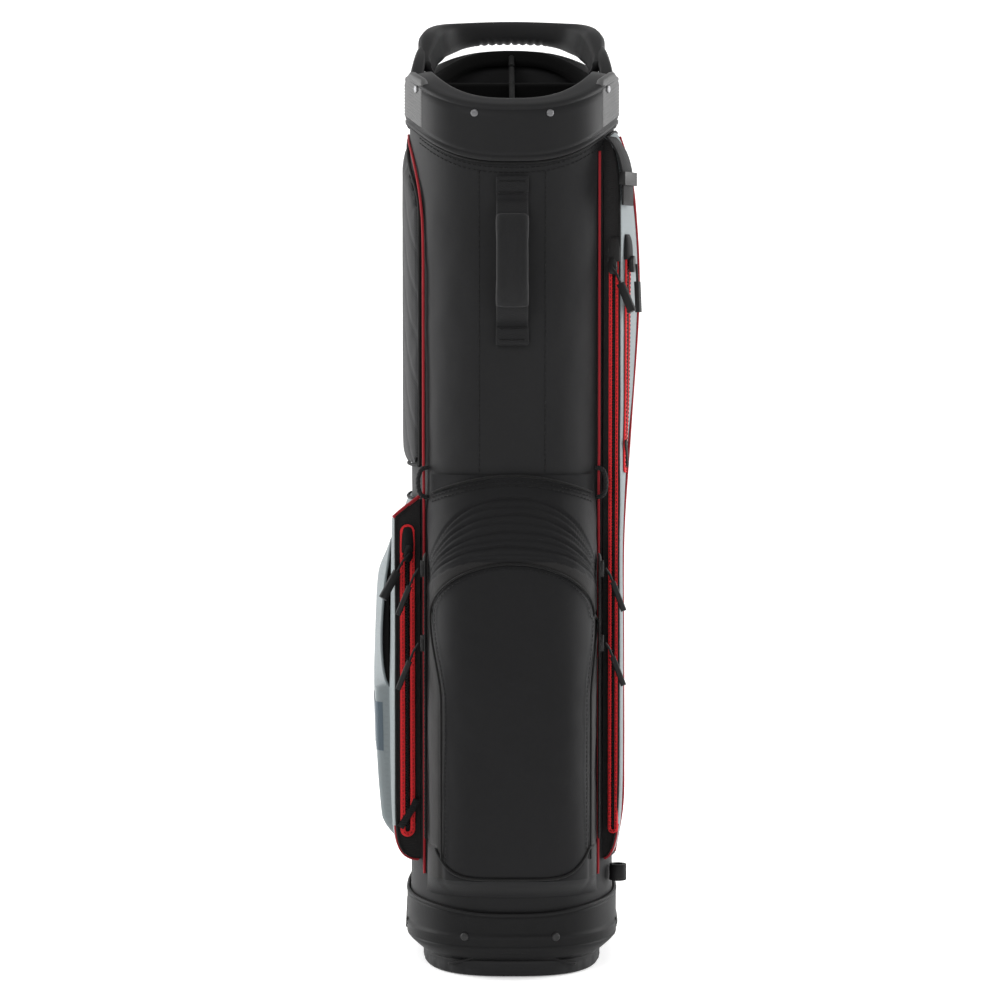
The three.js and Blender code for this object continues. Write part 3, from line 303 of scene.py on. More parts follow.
def makePiece(name, points, faces, wears, body="bag", slot=None, standsFor=(), wearOf=None):
    mesh = bpy.data.meshes.new(name)
    mesh.from_pydata([Vector(point) * mm for point in points], [], faces)
    for finish in wears:
        mesh.materials.append(finish.material)
    if wearOf:
        mesh.polygons.foreach_set("material_index", wearOf)
    tidy = bmesh.new()
    tidy.from_mesh(mesh)
    bmesh.ops.recalc_face_normals(tidy, faces=tidy.faces)
    tidy.to_mesh(mesh)
    tidy.free()
    mesh.polygons.foreach_set("use_smooth", [True] * len(mesh.polygons))
    piece = bpy.data.objects.new(name, mesh)
    scene.collection.objects.link(piece)
    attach(piece, body)
    if standsFor:
        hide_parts(*standsFor)
    return piece


class Shape:
    # points and faces gathered before they become one mesh
    def __init__(self):
        self.points = []
        self.faces = []
        self.wearOf = []

    def rings(self, rings, caps=True, loop=False, wearOf=None):
        size = len(rings[0])
        first = len(self.points)
        for ring in rings:
            self.points.extend(ring)
        spans = len(rings) if loop else len(rings) - 1
        for level in range(spans):
            low = first + level * size
            high = first + ((level + 1) % len(rings)) * size
            for step in range(size):
                after = (step + 1) % size
                self.faces.append((low + step, low + after, high + after, high + step))
                self.wearOf.append(wearOf(level, step) if wearOf else 0)
        if caps and not loop:
            for start, ring in ((first, rings[0]), (first + (len(rings) - 1) * size, rings[-1])):
                middle = sum((Vector(point) for point in ring), Vector()) / size
                centre = len(self.points)
                self.points.append(middle)
                for step in range(size):
                    self.faces.append((start + step, start + (step + 1) % size, centre))
                    self.wearOf.append(0)

    def make(self, name, wears, **facts):
        return makePiece(name, self.points, self.faces, wears, wearOf=self.wearOf, **facts)


def smoothRoute(points, steps):
    # a Catmull-Rom line through points, with even steps along it
    points = [Vector(point) for point in points]
    padded = [points[0] * 2 - points[1], *points, points[-1] * 2 - points[-2]]
    fine = []
    for index in range(len(points) - 1):
        a, b, c, d = padded[index : index + 4]
        for step in range(12):
            t = step / 12
            square = (2 * a - 5 * b + 4 * c - d) * t**2
            cube = (3 * b - a - 3 * c + d) * t**3
            fine.append(0.5 * ((2 * b) + (c - a) * t + square + cube))
    fine.append(points[-1])
    return evenRoute(fine, steps)


def evenRoute(points, steps):
    lengths = [0]
    for before, after in zip(points, points[1:]):
        lengths.append(lengths[-1] + (Vector(after) - Vector(before)).length)
    route = []
    index = 0
    for step in range(steps + 1):
        wanted = lengths[-1] * step / steps
        while index < len(points) - 2 and lengths[index + 1] < wanted:
            index += 1
        span = max(1e-9, lengths[index + 1] - lengths[index])
        share = min(1, (wanted - lengths[index]) / span)
        route.append(Vector(points[index]).lerp(Vector(points[index + 1]), share))
    return route


def routeLength(points):
    return sum((after - before).length for before, after in zip(points, points[1:]))


def tubeRings(route, radius, sides, flat=1.0, loop=False):
    # rings square to a route; radius may be a function of the share along it
    count = len(route)
    rings = []
    side = None
    for index, point in enumerate(route):
        before = route[index - 1] if index or loop else route[0]
        after = route[(index + 1) % count] if index + 1 < count or loop else route[-1]
        along = (after - before).normalized()
        if side is None:
            seed = Vector((0.31, 0.82, 0.48))
            side = seed - along * seed.dot(along)
        side = (side - along * side.dot(along)).normalized()
        out = along.cross(side)
        size = radius(index / max(1, count - 1)) if callable(radius) else radius
        ring = []
        for step in range(sides):
            turn = 2 * math.pi * step / sides
            ring.append(point + side * size * math.cos(turn) + out * size * flat * math.sin(turn))
        rings.append(ring)
    return rings


def pipe(name, route, radius, finish, sides=10, loop=False, **facts):
    shape = Shape()
    shape.rings(tubeRings(route, radius, sides, loop=loop), caps=not loop, loop=loop)
    return shape.make(name, [finish], **facts)


def strapRings(route, normals, width, thickness):
    # a flat strap with rounded selvedges; each normal looks away from what it lies on
    rings = []
    for index, point in enumerate(route):
        before = route[max(0, index - 1)]
        after = route[min(len(route) - 1, index + 1)]
        along = (after - before).normalized()
        across = along.cross(normals[index]).normalized()
        out = across.cross(along)
        size = width(index / (len(route) - 1)) if callable(width) else width
        ring = []
        for step in range(16):
            turn = 2 * math.pi * (step + 0.5) / 16
            u = bend(math.cos(turn), 0.25) * size / 2
            v = bend(math.sin(turn), 0.7) * thickness / 2
            ring.append(point + across * u + out * v)
        rings.append(ring)
    return rings


def strap(name, route, normals, width, thickness, finish, **facts):
    shape = Shape()
    shape.rings(strapRings(route, normals, width, thickness))
    return shape.make(name, [finish], **facts)


def stitchRow(shape, route, normals, length=3.0, gap=1.6, radius=0.32):
    # thread that dips into the cloth at each end of every stitch
    total = routeLength(route)
    count = max(1, int(total / (length + gap)))
    spots = evenRoute(route, count * 4)
    for index in range(count):
        places = [spots[index * 4 + step] for step in range(4)]
        share = (index + 0.5) / count
        normal = normals[min(len(normals) - 1, int(share * len(normals)))]
        along = places[3] - places[0]
        start = places[0]
        line = []
        for step, lift in ((0, -0.35), (0.15, 0.1), (0.5, 0.35), (0.75, 0.1), (0.9, -0.35)):
            line.append(start + along * step + normal * lift)
        shape.rings(tubeRings(line, radius, 6))


def dome(shape, point, normal, radius, height, sides=20, levels=6, dimple=0.0):
    # a round head on a face, such as a rivet's
    normal = normal.normalized()
    seed = Vector((0, 0, 1)) if abs(normal.z) < 0.9 else Vector((1, 0, 0))
    side = (seed - normal * seed.dot(normal)).normalized()
    out = normal.cross(side)
    rings = []
    for level in range(levels + 1):
        turn = level / levels * math.pi / 2
        size = radius * math.cos(turn) if level < levels else radius * 0.04
        lift = height * math.sin(turn) - dimple * max(0, math.sin(turn) - 0.8) * 5
        ring = []
        for step in range(sides):
            angle = 2 * math.pi * step / sides
            ring.append(point + side * size * math.cos(angle) + out * size * math.sin(angle) + normal * lift)
        rings.append(ring)
    base = [spot - normal * 0.8 for spot in rings[0]]
    shape.rings([base, *rings])


def nodeBox(name):
    low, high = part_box(name)
    return low / mm, high / mm


# the bag's oval
tubeLow, tubeHigh = nodeBox("body_tube")
bootLow, bootHigh = nodeBox("boot")
collarLow, collarHigh = nodeBox("collar")
bag = {
    "halfWidth": tubeHigh.x,
    "halfDepth": tubeHigh.y,
    "squareness": 2.7,
    "wall": 3.0,
    "rimFront": 791,
    "rimSide": 824,
    "rimBack": 859,
    "seamFront": 741,
    "seamSide": 781,
    "seamBack": 806,
    "collarThick": 3.8,
    "bootTop": 68,
    "rimGap": 14.4,
}


def ovalAt(halfWidth, halfDepth, degrees):
    angle = math.radians(degrees)
    power = 2 / bag["squareness"]
    sine = math.sin(angle)
    cosine = math.cos(angle)
    x = halfWidth * bend(sine, power)
    y = -halfDepth * bend(cosine, power)
    return x, y


def outwards(degrees):
    x, y = ovalAt(1, 1, degrees)
    power = bag["squareness"] - 1
    across = bend(x, power) / bag["halfWidth"]
    deep = bend(y, power) / bag["halfDepth"]
    return Vector((across, deep, 0)).normalized()


def onBag(degrees, offset, z):
    x, y = ovalAt(bag["halfWidth"], bag["halfDepth"], degrees)
    out = outwards(degrees)
    return Vector((x + out.x * offset, y + out.y * offset, z))


def roundCollar(degrees, front, side, back):
    angle = math.radians(degrees)
    return mix(front if math.cos(angle) > 0 else back, side, math.sin(angle) ** 2)


def rimAt(degrees):
    return roundCollar(degrees, bag["rimFront"], bag["rimSide"], bag["rimBack"])


def seamAt(degrees):
    return roundCollar(degrees, bag["seamFront"], bag["seamSide"], bag["seamBack"])


def crease(x, y, z, scale, depth):
    # slow, even dents of sewn cloth
    return noise.noise(Vector((x / scale, y / scale, z / scale))) * depth


# tube of cloth
tube = {"sides": 160, "levels": 120, "sag": 1.3, "dents": 1.0}


def tubeSkin(degrees, share, inner):
    low = tubeLow.z
    high = rimAt(degrees) - bag["rimGap"]
    z = mix(low, high, share)
    if inner:
        return onBag(degrees, -bag["wall"], z)
    spot = onBag(degrees, 0, z)
    inBoot = ease((z - 60) / 60)
    inCollar = ease((seamAt(degrees) - z) / 60)
    loose = inBoot * inCollar
    sag = -tube["sag"] * math.sin(math.pi * min(1, max(0, (z - 68) / 690))) * loose
    dents = crease(spot.x, spot.y, z * 0.6, 34, tube["dents"]) + crease(spot.x, spot.y, z, 13, 0.35)
    return onBag(degrees, -0.1 + min(0.25, sag + (dents - 0.3) * loose), z)


tubeShape = Shape()
tubeRingList = []
for inner in (False, True):
    rows = range(tube["levels"] + 1)
    for row in reversed(rows) if inner else rows:
        share = row / tube["levels"]
        ring = []
        for side in range(tube["sides"]):
            ring.append(tubeSkin(360 * side / tube["sides"], share, inner))
        tubeRingList.append(ring)
tubeShape.rings(tubeRingList, loop=True)
tubeShape.make("tube_cloth", [finishes["tube"]], slot="tube_fabric", standsFor=["body_tube"])
print("tube made")

# dividers in the mouth
divider = {"halfWall": 1.5, "bead": 2.6, "drop": 3}


def dividerEdge(degrees, z):
    # how far a divider reaches from the middle at one height
    wide = ovalAt(bag["halfWidth"] - 4.2, bag["halfDepth"] - 4.2, degrees)
    narrow = ovalAt(73.2, 98.2, degrees)
    reach = wide if z < rimAt(degrees) - 18 else narrow
    return Vector((reach[0], reach[1], 0)).length


dividerShape = Shape()
dividerLow = nodeBox("club_dividers")[0].z + 1
for start, end in ((90, -90), (0, 180)):
    rings = []
    for row in range(61):
        share = row / 60
        ring = []
        degrees = start if share < 0.5 else end
        way = outwards(degrees)
        flat = Vector((-way.y, way.x, 0))
        part = abs(share - 0.5) * 2
        rim = mix(mix(rimAt(0), rimAt(180), 0.5), rimAt(degrees), part) if start == 0 else rimAt(90)
        top = rim - divider["drop"] - 2
        reach = dividerEdge(degrees, top) * part
        base = way * reach
        wall = divider["halfWall"]
        bead = divider["bead"]
        profile = [(-wall, dividerLow), (wall, dividerLow), (wall, top - 5), (bead, top - 3), (bead, top - 1)]
        profile += [(1.2, top + 0.6), (-1.2, top + 0.6), (-bead, top - 1), (-bead, top - 3), (-wall, top - 5)]
        sign = 1 if share < 0.5 else -1
        for u, z in profile:
            ring.append(base + flat * u * sign + Vector((0, 0, z)))
        rings.append(ring)
    dividerShape.rings(rings)
dividerShape.make("divider_walls", [finishes["lining"]], slot="divider_fabric", standsFor=["club_dividers"])

# collar
collar = {
    "sides": 220,
    "lip": 1.0,
    "riseFront": 7.0,
    "riseSide": 5.0,
    "innerHalfWidth": collarHigh.x - 24.8,
    "innerHalfDepth": collarHigh.y - 12.8,
    "wingFront": 50,
    "wingBack": 117,
    "wingTop": 829,
    "tongue": 58,
    "ribPitch": 2.9,
}


def collarSpot(degrees, inward, z, grow=0.0):
    # inward runs from 0 on the outer face to 1 on the face round the mouth
    outer = ovalAt(collarHigh.x + grow, collarHigh.y + grow, degrees)
    inner = ovalAt(collar["innerHalfWidth"], collar["innerHalfDepth"], degrees)
    return Vector((mix(outer[0], inner[0], inward), mix(outer[1], inner[1], inward), z))


def collarRing(degrees):
    seam = seamAt(degrees)
    rim = rimAt(degrees)
    angle = math.radians(degrees)
    forward = max(0, math.cos(angle))
    rise = mix(collar["riseSide"] * math.sin(angle) ** 2, collar["riseFront"], forward**2)
    lip = collar["lip"]
    ring = [onBag(degrees, 0.4, seam)]
    for inward, z, grow in (
        (0.03, seam - 0.3, 0),
        (0, seam + 0.6, 0.2),
        (0, seam + 3.2, 0.3),
        (0.03, seam + 4.4, -0.9),
        (0, seam + 5.6, 0.1),
        (0, seam + 9, 0),
        (0, mix(seam, rim, 0.35), 0),
        (0, mix(seam, rim, 0.6), 0),
        (0, rim - 12, 0),
        (0, rim - 5.2, 0),
        (0, rim - 4.6, -0.7),
        (0, rim - 3.8, 0.1),
        (0, rim - 2.4, lip * 0.5),
        (0, rim - 0.8, 0.2),
        (0.08, rim + 0.8, 0),
        (0.3, rim + rise * 0.35, 0),
        (0.6, rim + rise * 0.7, 0),
        (0.85, rim + rise * 0.96, 0),
        (0.95, rim + rise, 0),
        (1.0, rim + rise - 1.2, 0),
        (1.02, rim + rise - 4, 0),
        (1.0, rim - 9, 0),
        (1.0, rim - 14, 0),
    ):
        ring.append(collarSpot(degrees, inward, z, grow))
    ring.append(onBag(degrees, 0.4, rim - 14))
    ring.append(onBag(degrees, 0.4, mix(seam, rim, 0.5)))
    return ring


collarShape = Shape()
columns = [collarRing(360 * side / collar["sides"]) for side in range(collar["sides"])]
# steps 19 to 22 are the mouth's inner face; they get the near-black lining finish as painted shade inside the
# mouth
collarShape.rings(columns, loop=True, wearOf=lambda level, step: 1 if 19 <= step <= 22 else 0)
collarAndPaintedShadeFinishes = [finishes["collar"], finishes["lining"]]
collarShape.make("collar_shell", collarAndPaintedShadeFinishes, slot="collar_moulding", standsFor=["collar"])


for sideName, side in (("left", -1), ("right", 1)):
    wingShape = Shape()
    wingColumns = []
    for column in range(49):
        share = column / 48
        degrees = side * mix(collar["wingFront"], collar["wingBack"], share)
        edge = math.sin(math.pi * min(1, max(0, share))) ** 0.3
        seam = seamAt(degrees) + 7.5
        tongue = (abs(degrees) - collar["tongue"]) / 8.2
        drop = 20 * (1 - max(0, 1 - abs(tongue) ** 2.6) ** 0.5) if tongue < 0 else 9 * ease(tongue / 3)
        top = min(collar["wingTop"] - drop, rimAt(degrees) + 6)
        proud = bag["collarThick"] + 0.2 + 0.9 * edge
        profile = [(3.0, seam), (proud - 0.5, seam)]
        rows = 84
        for row in range(rows + 1):
            z = mix(seam + 0.8, top - 3.5, row / rows)
            rib = abs(math.sin(math.pi * (z - seam) / collar["ribPitch"])) ** 0.6
            profile.append((proud - 0.55 * (1 - rib) * edge, z))
        profile += [(proud - 0.5, top - 1.8), (proud - 1.6, top - 0.4), (0.8, top), (-1.4, top - 0.4)]
        profile += [(-2.4, top - 1.8), (-2.6, top - 8), (3.0, top - 9)]
        wingColumns.append([onBag(degrees, offset, z) for offset, z in profile])
    wingShape.rings(wingColumns)
    wingShape.make("collar_wing_" + sideName, [finishes["wing"]], slot="collar_moulding")

# handle over the mouth
handle = {
    "tip": (80, 24, 836.5),
    "steps": 260,
    "sides": 28,
    "tall": 11.3,
    "deep": 10.2,
    "tipTall": 6.0,
    "ridgePitch": 7.5,
    "ridgeHalf": 38,
}
half = [handle["tip"], (81, 36, 844.5), (79, 73.8, 862), (70, 108.8, 873), (48, 129, 877)]
mirrored = [(-x, y, z) for x, y, z in reversed(half)]
handleRoute = smoothRoute([*half, (0, 136, 879), *mirrored], handle["steps"])
handleRings = []
for index, point in enumerate(handleRoute):
    before = handleRoute[max(0, index - 1)]
    after = handleRoute[min(handle["steps"], index + 1)]
    along = (after - before).normalized()
    inwards = Vector((0, 0, 1)).cross(along).normalized()
    up = along.cross(inwards)
    share = index / handle["steps"]
    full = ease(5.5 * min(share, 1 - share))
    tall = mix(handle["tipTall"], handle["tall"], full)
    deep = mix(4.2, handle["deep"], full)
    elbow = math.exp(-(((abs(point.x) - 74) / 24) ** 2))
    gripped = ease((handle["ridgeHalf"] - abs(point.x)) / 4)
    ring = []
    for step in range(handle["sides"]):
        turn = 2 * math.pi * step / handle["sides"]
        u = bend(math.cos(turn), 0.72) * deep
        v = bend(math.sin(turn), 0.72) * tall
        if math.sin(turn) < -0.2:
            notch = abs(math.sin(math.pi * point.x / handle["ridgePitch"])) ** 0.55
            v += 2.4 * (1 - notch) * gripped * ease((-math.sin(turn) - 0.2) / 0.5)
        if 0.55 < math.sin(turn) < 0.8:
            u *= 0.94
        if math.sin(turn) < 0:
            v *= 1 + 0.55 * elbow
        lean = Vector((-math.copysign(7, point.x), 0, 0)) * elbow * max(0, -math.sin(turn))
        ring.append(point + inwards * u + up * v + lean)
    handleRings.append(ring)
handleShape = Shape()
handleShape.rings(handleRings)
handleShape.make("handle_grip", [finishes["rubber"]], slot="handle_rubber", standsFor=["top_handle"])
bracketPoints = [(90, -4, 813), (90, 12, 824), (88.5, 30, 835), (86, 52, 845), (81, 76, 855), (74, 98, 863)]
for sideName, side in (("left", -1), ("right", 1)):
    # the bracket that holds each end of the handle on the rim
    bracketRoute = smoothRoute([Vector((side * x, y, z)) for x, y, z in bracketPoints], 24)
    bracketNormals = [Vector((side, 0.1, 0.35)).normalized()] * 25
    strap(
        "handle_bracket_" + sideName,
        bracketRoute,
        bracketNormals,
        lambda share: 8 + 20 * max(0, math.sin(math.pi * min(1, share * 1.02))) ** 0.6,
        12,
        finishes["collar"],
        slot="collar_moulding",
    )

# boot
boot = {
    "sides": 200,
    "floor": 15,
    "insetFront": 5.6,
    "insetSide": 14,
    "wedgeStart": 22,
    "wedgeSlope": math.tan(math.radians(27)),
}


def bootTopAt(degrees):
    lift = math.cos(math.radians(degrees))
    return bag["bootTop"] - 8 * lift**4 if lift > 0 else bag["bootTop"] + 32 * lift**2


def underBoot(y):
    return max(boot["floor"], boot["floor"] + (y - boot["wedgeStart"]) * boot["wedgeSlope"])


def bootSpot(degrees, grow, z, shrink=1.0):
    x, y = ovalAt(bootHigh.x + grow, bootHigh.y + grow, degrees)
    return Vector((x * shrink, y * shrink, z))


def bootInset(degrees):
    return mix(boot["insetSide"], boot["insetFront"], max(0, math.cos(math.radians(degrees))) ** 1.5)


bootRings = []
for shrink in (0.03, 0.25, 0.5, 0.75, 0.93, 1.0):
    ring = []
    for step in range(boot["sides"]):
        degrees = 360 * step / boot["sides"]
        spot = bootSpot(degrees, -bootInset(degrees), boot["floor"], shrink)
        ring.append(Vector((spot.x, spot.y, underBoot(spot.y))))
    bootRings.append(ring)
bootProfile = [
    (0.55, 19.5),
    (0.2, 23.5),
    (0.0, 26.5),
    (0.0, 28.2),
    (-0.7, 28.9),
    (0.15, 29.7),
    (0.1, 35.2),
    (0.9, 36.0),
    (1.0, 37.4),
    (0.9, 38.6),
    (0.0, 39.4),
    (-0.2, 41.5),
]
for level, (grow, z) in enumerate(bootProfile):
    ring = []
    for step in range(boot["sides"]):
        degrees = 360 * step / boot["sides"]
        offset = -bootInset(degrees) * grow if z < 26 else grow
        spot = bootSpot(degrees, offset, z)
        ring.append(Vector((spot.x, spot.y, max(z, underBoot(spot.y) + 0.5 + 0.4 * level))))
    bootRings.append(ring)
bootLip = [(-0.2, 9), (-0.2, 6), (-0.2, 4.6), (-0.9, 3.9), (0.1, 3.2), (0.3, 1.6), (-0.4, 0.3)]
bootLip += [(-1.6, 0), (-3.1, 0.5), (-3.4, 3), (-3.4, 8)]
for grow, down in bootLip:
    ring = []
    for step in range(boot["sides"]):
        degrees = 360 * step / boot["sides"]
        ring.append(bootSpot(degrees, grow, bootTopAt(degrees) - down))
    bootRings.append(ring)
for shrink in (1.0, 0.9, 0.6, 0.3, 0.03):
    ring = []
    for step in range(boot["sides"]):
        degrees = 360 * step / boot["sides"]
        spot = bootSpot(degrees, -3.4 - bootInset(degrees), 0, shrink)
        ring.append(Vector((spot.x, spot.y, underBoot(spot.y) + 4)))
    bootRings.append(ring)
bootShape = Shape()
bootShape.rings(bootRings)
for side in (-1, 1):
    # ears that hold the treadle's pin
    inner, outer = side * 71.5, side * 79.5
    rings = []
    for x, grow in ((inner, -0.8), (inner + side * 0.8, 0), (outer - side * 0.8, 0), (outer, -0.8)):
        ring = []
        for step in range(20):
            turn = 2 * math.pi * step / 20
            y = 30 + bend(math.cos(turn), 0.6) * (5.5 + grow)
            z = 12 + bend(math.sin(turn), 0.5) * (9.5 + grow)
            ring.append(Vector((x, y, z)))
        rings.append(ring)
    bootShape.rings(rings)
bootShape.make("boot_shell", [finishes["boot"]], slot="boot_moulding", standsFor=["boot"])

archShape = Shape()
archRoute = []
for step in range(61):
    degrees = mix(-33, 33, step / 60)
    x = ovalAt(bootHigh.x, bootHigh.y, degrees)[0]
    z = 9 + 15 * math.cos(math.pi / 2 * min(1, abs(x) / 66)) ** 1.3
    inset = bootInset(degrees) * min(1, max(0, (26.5 - z) / 7))
    archRoute.append(bootSpot(degrees, 0.3 - inset, z))
archShape.rings(tubeRings(archRoute, 1.1, 8))
archShape.make("boot_arch", [finishes["boot"]], slot="boot_moulding")

finShape = Shape()
finOutline = [(-90, 46), (-94, 45), (-99.5, 20.5), (-92.5, 20), (-88.5, 13.5), (-84.5, 13)]
finOutline += [(-81, 4.5), (-77, 3), (-77, 20)]
for side in (-1, 1):
    # stepped heel beside the boot's underside
    rings = []
    for y, shrink in ((20, 0.93), (22, 1.0), (44, 1.0), (46, 0.93)):
        ring = []
        for index, (x, z) in enumerate(finOutline):
            following = finOutline[(index + 1) % len(finOutline)]
            for share in (0.0, 0.5):
                px = mix(x, following[0], share)
                pz = mix(z, following[1], share)
                ring.append(Vector((-side * mix(-86, px, shrink), y, mix(22, pz, shrink))))
        rings.append(ring)
    finShape.rings(rings)
finShape.make("boot_heels", [finishes["boot"]], slot="boot_moulding")

soleShape = Shape()
soleLow, soleHigh = nodeBox("sole")
soleRings = []
for grow, z in ((-4, 0), (-1.6, 0.4), (-0.4, 1.8), (0, 4), (0, 9), (-0.4, 11), (0, 12.2), (0, soleHigh.z)):
    ring = []
    for step in range(140):
        degrees = mix(-101, 101, step / 139)
        x, y = ovalAt(soleHigh.x + grow, -soleLow.y + grow, degrees)
        rib = 0.5 * max(0, math.sin(math.radians(degrees) * 26)) if 1 < z < 10 else 0
        way = Vector((x, y, 0)).normalized()
        ring.append(Vector((x - way.x * rib, min(soleHigh.y, y - way.y * rib), z)))
    soleRings.append(ring)
soleShape.rings(soleRings)
soleShape.make("sole_rubber", [finishes["rubber"]], slot="sole_rubber", standsFor=["sole"])

# rivets
rivetShape = Shape()
for name in ("front_left", "front_right", "side_left", "side_right"):
    low, high = nodeBox("collar_rivet_" + name)
    middle = (low + high) / 2
    degrees = (14 if "front" in name else collar["tongue"] - 1.5) * (-1 if "left" in name else 1)
    out = outwards(degrees)
    seat = onBag(degrees, bag["collarThick"] + (1.3 if "side" in name else 0.2), middle.z)
    dome(rivetShape, seat, out, 3.4, 1.4, dimple=0.5)
rivetShape.make(
    "collar_rivets",
    [finishes["steel"]],
    slot="rivet_steel",
    standsFor=["collar_rivet_" + name for name in ("front_left", "front_right", "side_left", "side_right")],
)
bootRivetShape = Shape()
for degrees in (-19, 17, -78, 78):
    dome(bootRivetShape, bootSpot(degrees, 0.9, 37.6), outwards(degrees), 3.7, 1.3, dimple=0.4)
bootRivetShape.make("boot_rivets", [finishes["bootRivet"]], slot="rivet_steel")
print("collar, handle and boot made")

# front seams, stitches and grab handle
front = {"stitchX": 30, "stitchLow": 462, "stitchHigh": 736}


def clothAt(degrees, z, lift):
    share = (z - tubeLow.z) / (rimAt(degrees) - bag["rimGap"] - tubeLow.z)
    return tubeSkin(degrees, share, False) + outwards(degrees) * lift


def degreesAtX(x):
    share = min(1, abs(x) / bag["halfWidth"])
    return math.degrees(math.asin(share ** (bag["squareness"] / 2))) * (1 if x > 0 else -1)


seamThread = Shape()
for x in (-front["stitchX"], front["stitchX"]):
    degrees = degreesAtX(x)
    route = [clothAt(degrees, z, 0.25) for z in range(front["stitchLow"], front["stitchHigh"], 4)]
    stitchRow(seamThread, route, [outwards(degrees)], length=2.6, gap=1.8, radius=0.4)
for drop in (5.5, 10):
    route = []
    normals = []
    for step in range(121):
        degrees = mix(-58, 58, step / 120)
        route.append(clothAt(degrees, seamAt(degrees) - drop, 0.25))
        normals.append(outwards(degrees))
    stitchRow(seamThread, route, normals, length=3, gap=1.8, radius=0.34)
seamThread.make("front_stitches", [finishes["thread"]], slot="tube_fabric")

# a thin turned edge under the collar, where cloth meets moulding
edgeRoute = [onBag(360 * step / 200, 1.3, seamAt(360 * step / 200) - 1.6) for step in range(200)]
pipe("collar_edge_binding", edgeRoute, 1.3, finishes["blackPiping"], loop=True, slot="tube_fabric")

grab = {
    "width": 28.7,
    "thick": 2.4,
    "top": 728,
    "bottom": 576,
    "patch": 22,
    "reach": 19,
    "sleeveWidth": 33.5,
    "sleeveThick": 10,
}
grabSkin = -bag["halfDepth"] - 0.8 - grab["thick"] / 2
grabLift = grabSkin - grab["reach"]
grabHigh = grab["top"] - grab["patch"]
grabLow = grab["bottom"] + grab["patch"]
grabPoints = [
    (0, grabSkin, grab["top"]),
    (0, grabSkin, grabHigh + 5),
    (0, grabSkin, grabHigh),
    (0, mix(grabSkin, grabLift, 0.55), grabHigh - 12),
    (0, grabLift, grabHigh - 32),
    (0, grabLift, grabLow + 32),
    (0, mix(grabSkin, grabLift, 0.55), grabLow + 12),
    (0, grabSkin, grabLow),
    (0, grabSkin, grabLow - 5),
    (0, grabSkin, grab["bottom"]),
]


def routeNormals(route, towards):
    normals = []
    for index in range(len(route)):
        along = (route[min(len(route) - 1, index + 1)] - route[max(0, index - 1)]).normalized()
        normals.append((towards - along * towards.dot(along)).normalized())
    return normals


grabRoute = smoothRoute(grabPoints, 90)
strap(
    "grab_webbing",
    grabRoute,
    routeNormals(grabRoute, Vector((0, -1, 0))),
    grab["width"],
    grab["thick"],
    finishes["webbing"],
    slot="webbing",
    standsFor=["grab_handle_webbing"],
)
patchShape = Shape()
for z in (grab["top"] - 8, grab["bottom"] + 9):
    # the doubled end of the strap, folded over and sewn down
    route = [Vector((0, grabSkin - 2.0, z + step * 2.2 - 8)) for step in range(8)]
    patchShape.rings(strapRings(route, [Vector((0, -1, 0))] * 8, grab["width"] + 0.8, 1.6))
patchShape.make("grab_webbing_ends", [finishes["webbing"]], slot="webbing")
tackShape = Shape()
for z in (grab["top"] - 5, grab["top"] - 15, grab["bottom"] + 5, grab["bottom"] + 15):
    row = [Vector((x, grabSkin - 2.95, z)) for x in range(-12, 13, 2)]
    stitchRow(tackShape, row, [Vector((0, -1, 0))], length=1.6, gap=0.5, radius=0.5)
tackShape.make("grab_bar_tacks", [finishes["thread"]], slot="webbing")


def softPad(name, rings, look, finish, slot, standsFor):
    shape = Shape()
    shape.rings(rings)
    pad = makePiece(name, shape.points, shape.faces, [finish], slot=slot, standsFor=standsFor)
    remesh = pad.modifiers.new("even", "REMESH")
    remesh.mode = "VOXEL"
    remesh.voxel_size = look["voxel"] * mm
    bakeModifiers(pad)
    start = [vertex.co.copy() for vertex in pad.data.vertices]
    swell(pad, look)
    for vertex, place in zip(pad.data.vertices, start):
        moved = vertex.co - place
        if moved.length > look["cap"] * mm:
            vertex.co = place + moved * (look["cap"] * mm / moved.length)
    settle(pad, look)
    subdivide = pad.modifiers.new("smooth", "SUBSURF")
    subdivide.levels = 1
    subdivide.render_levels = 1
    bakeModifiers(pad)
    pad.data.polygons.foreach_set("use_smooth", [True] * len(pad.data.polygons))
    return pad


def bakeModifiers(piece):
    graph = bpy.context.evaluated_depsgraph_get()
    made = bpy.data.meshes.new_from_object(piece.evaluated_get(graph))
    finish = piece.data.materials[0]
    piece.modifiers.clear()
    piece.data = made
    made.materials.clear()
    made.materials.append(finish)
    made.name = piece.name


def swell(pad, look):
    cloth = pad.modifiers.new("air", "CLOTH")
    cloth.settings.quality = 5
    cloth.settings.mass = 0.15
    cloth.settings.tension_stiffness = 18
    cloth.settings.compression_stiffness = 18
    cloth.settings.shear_stiffness = 6
    cloth.settings.bending_stiffness = 0.6
    cloth.settings.use_pressure = True
    cloth.settings.uniform_pressure_force = look["pressure"]
    cloth.settings.effector_weights.gravity = 0
    cloth.point_cache.frame_start = 1
    cloth.point_cache.frame_end = look["frames"]
    for number in range(1, look["frames"] + 1):
        scene.frame_set(number)
    bakeModifiers(pad)
    scene.frame_set(1)


def settle(pad, look):
    # channels are pressed in, and nothing passes the limit set for the pad's back
    for vertex in pad.data.vertices:
        place = vertex.co / mm
        vertex.co = look["shape"](place) * mm


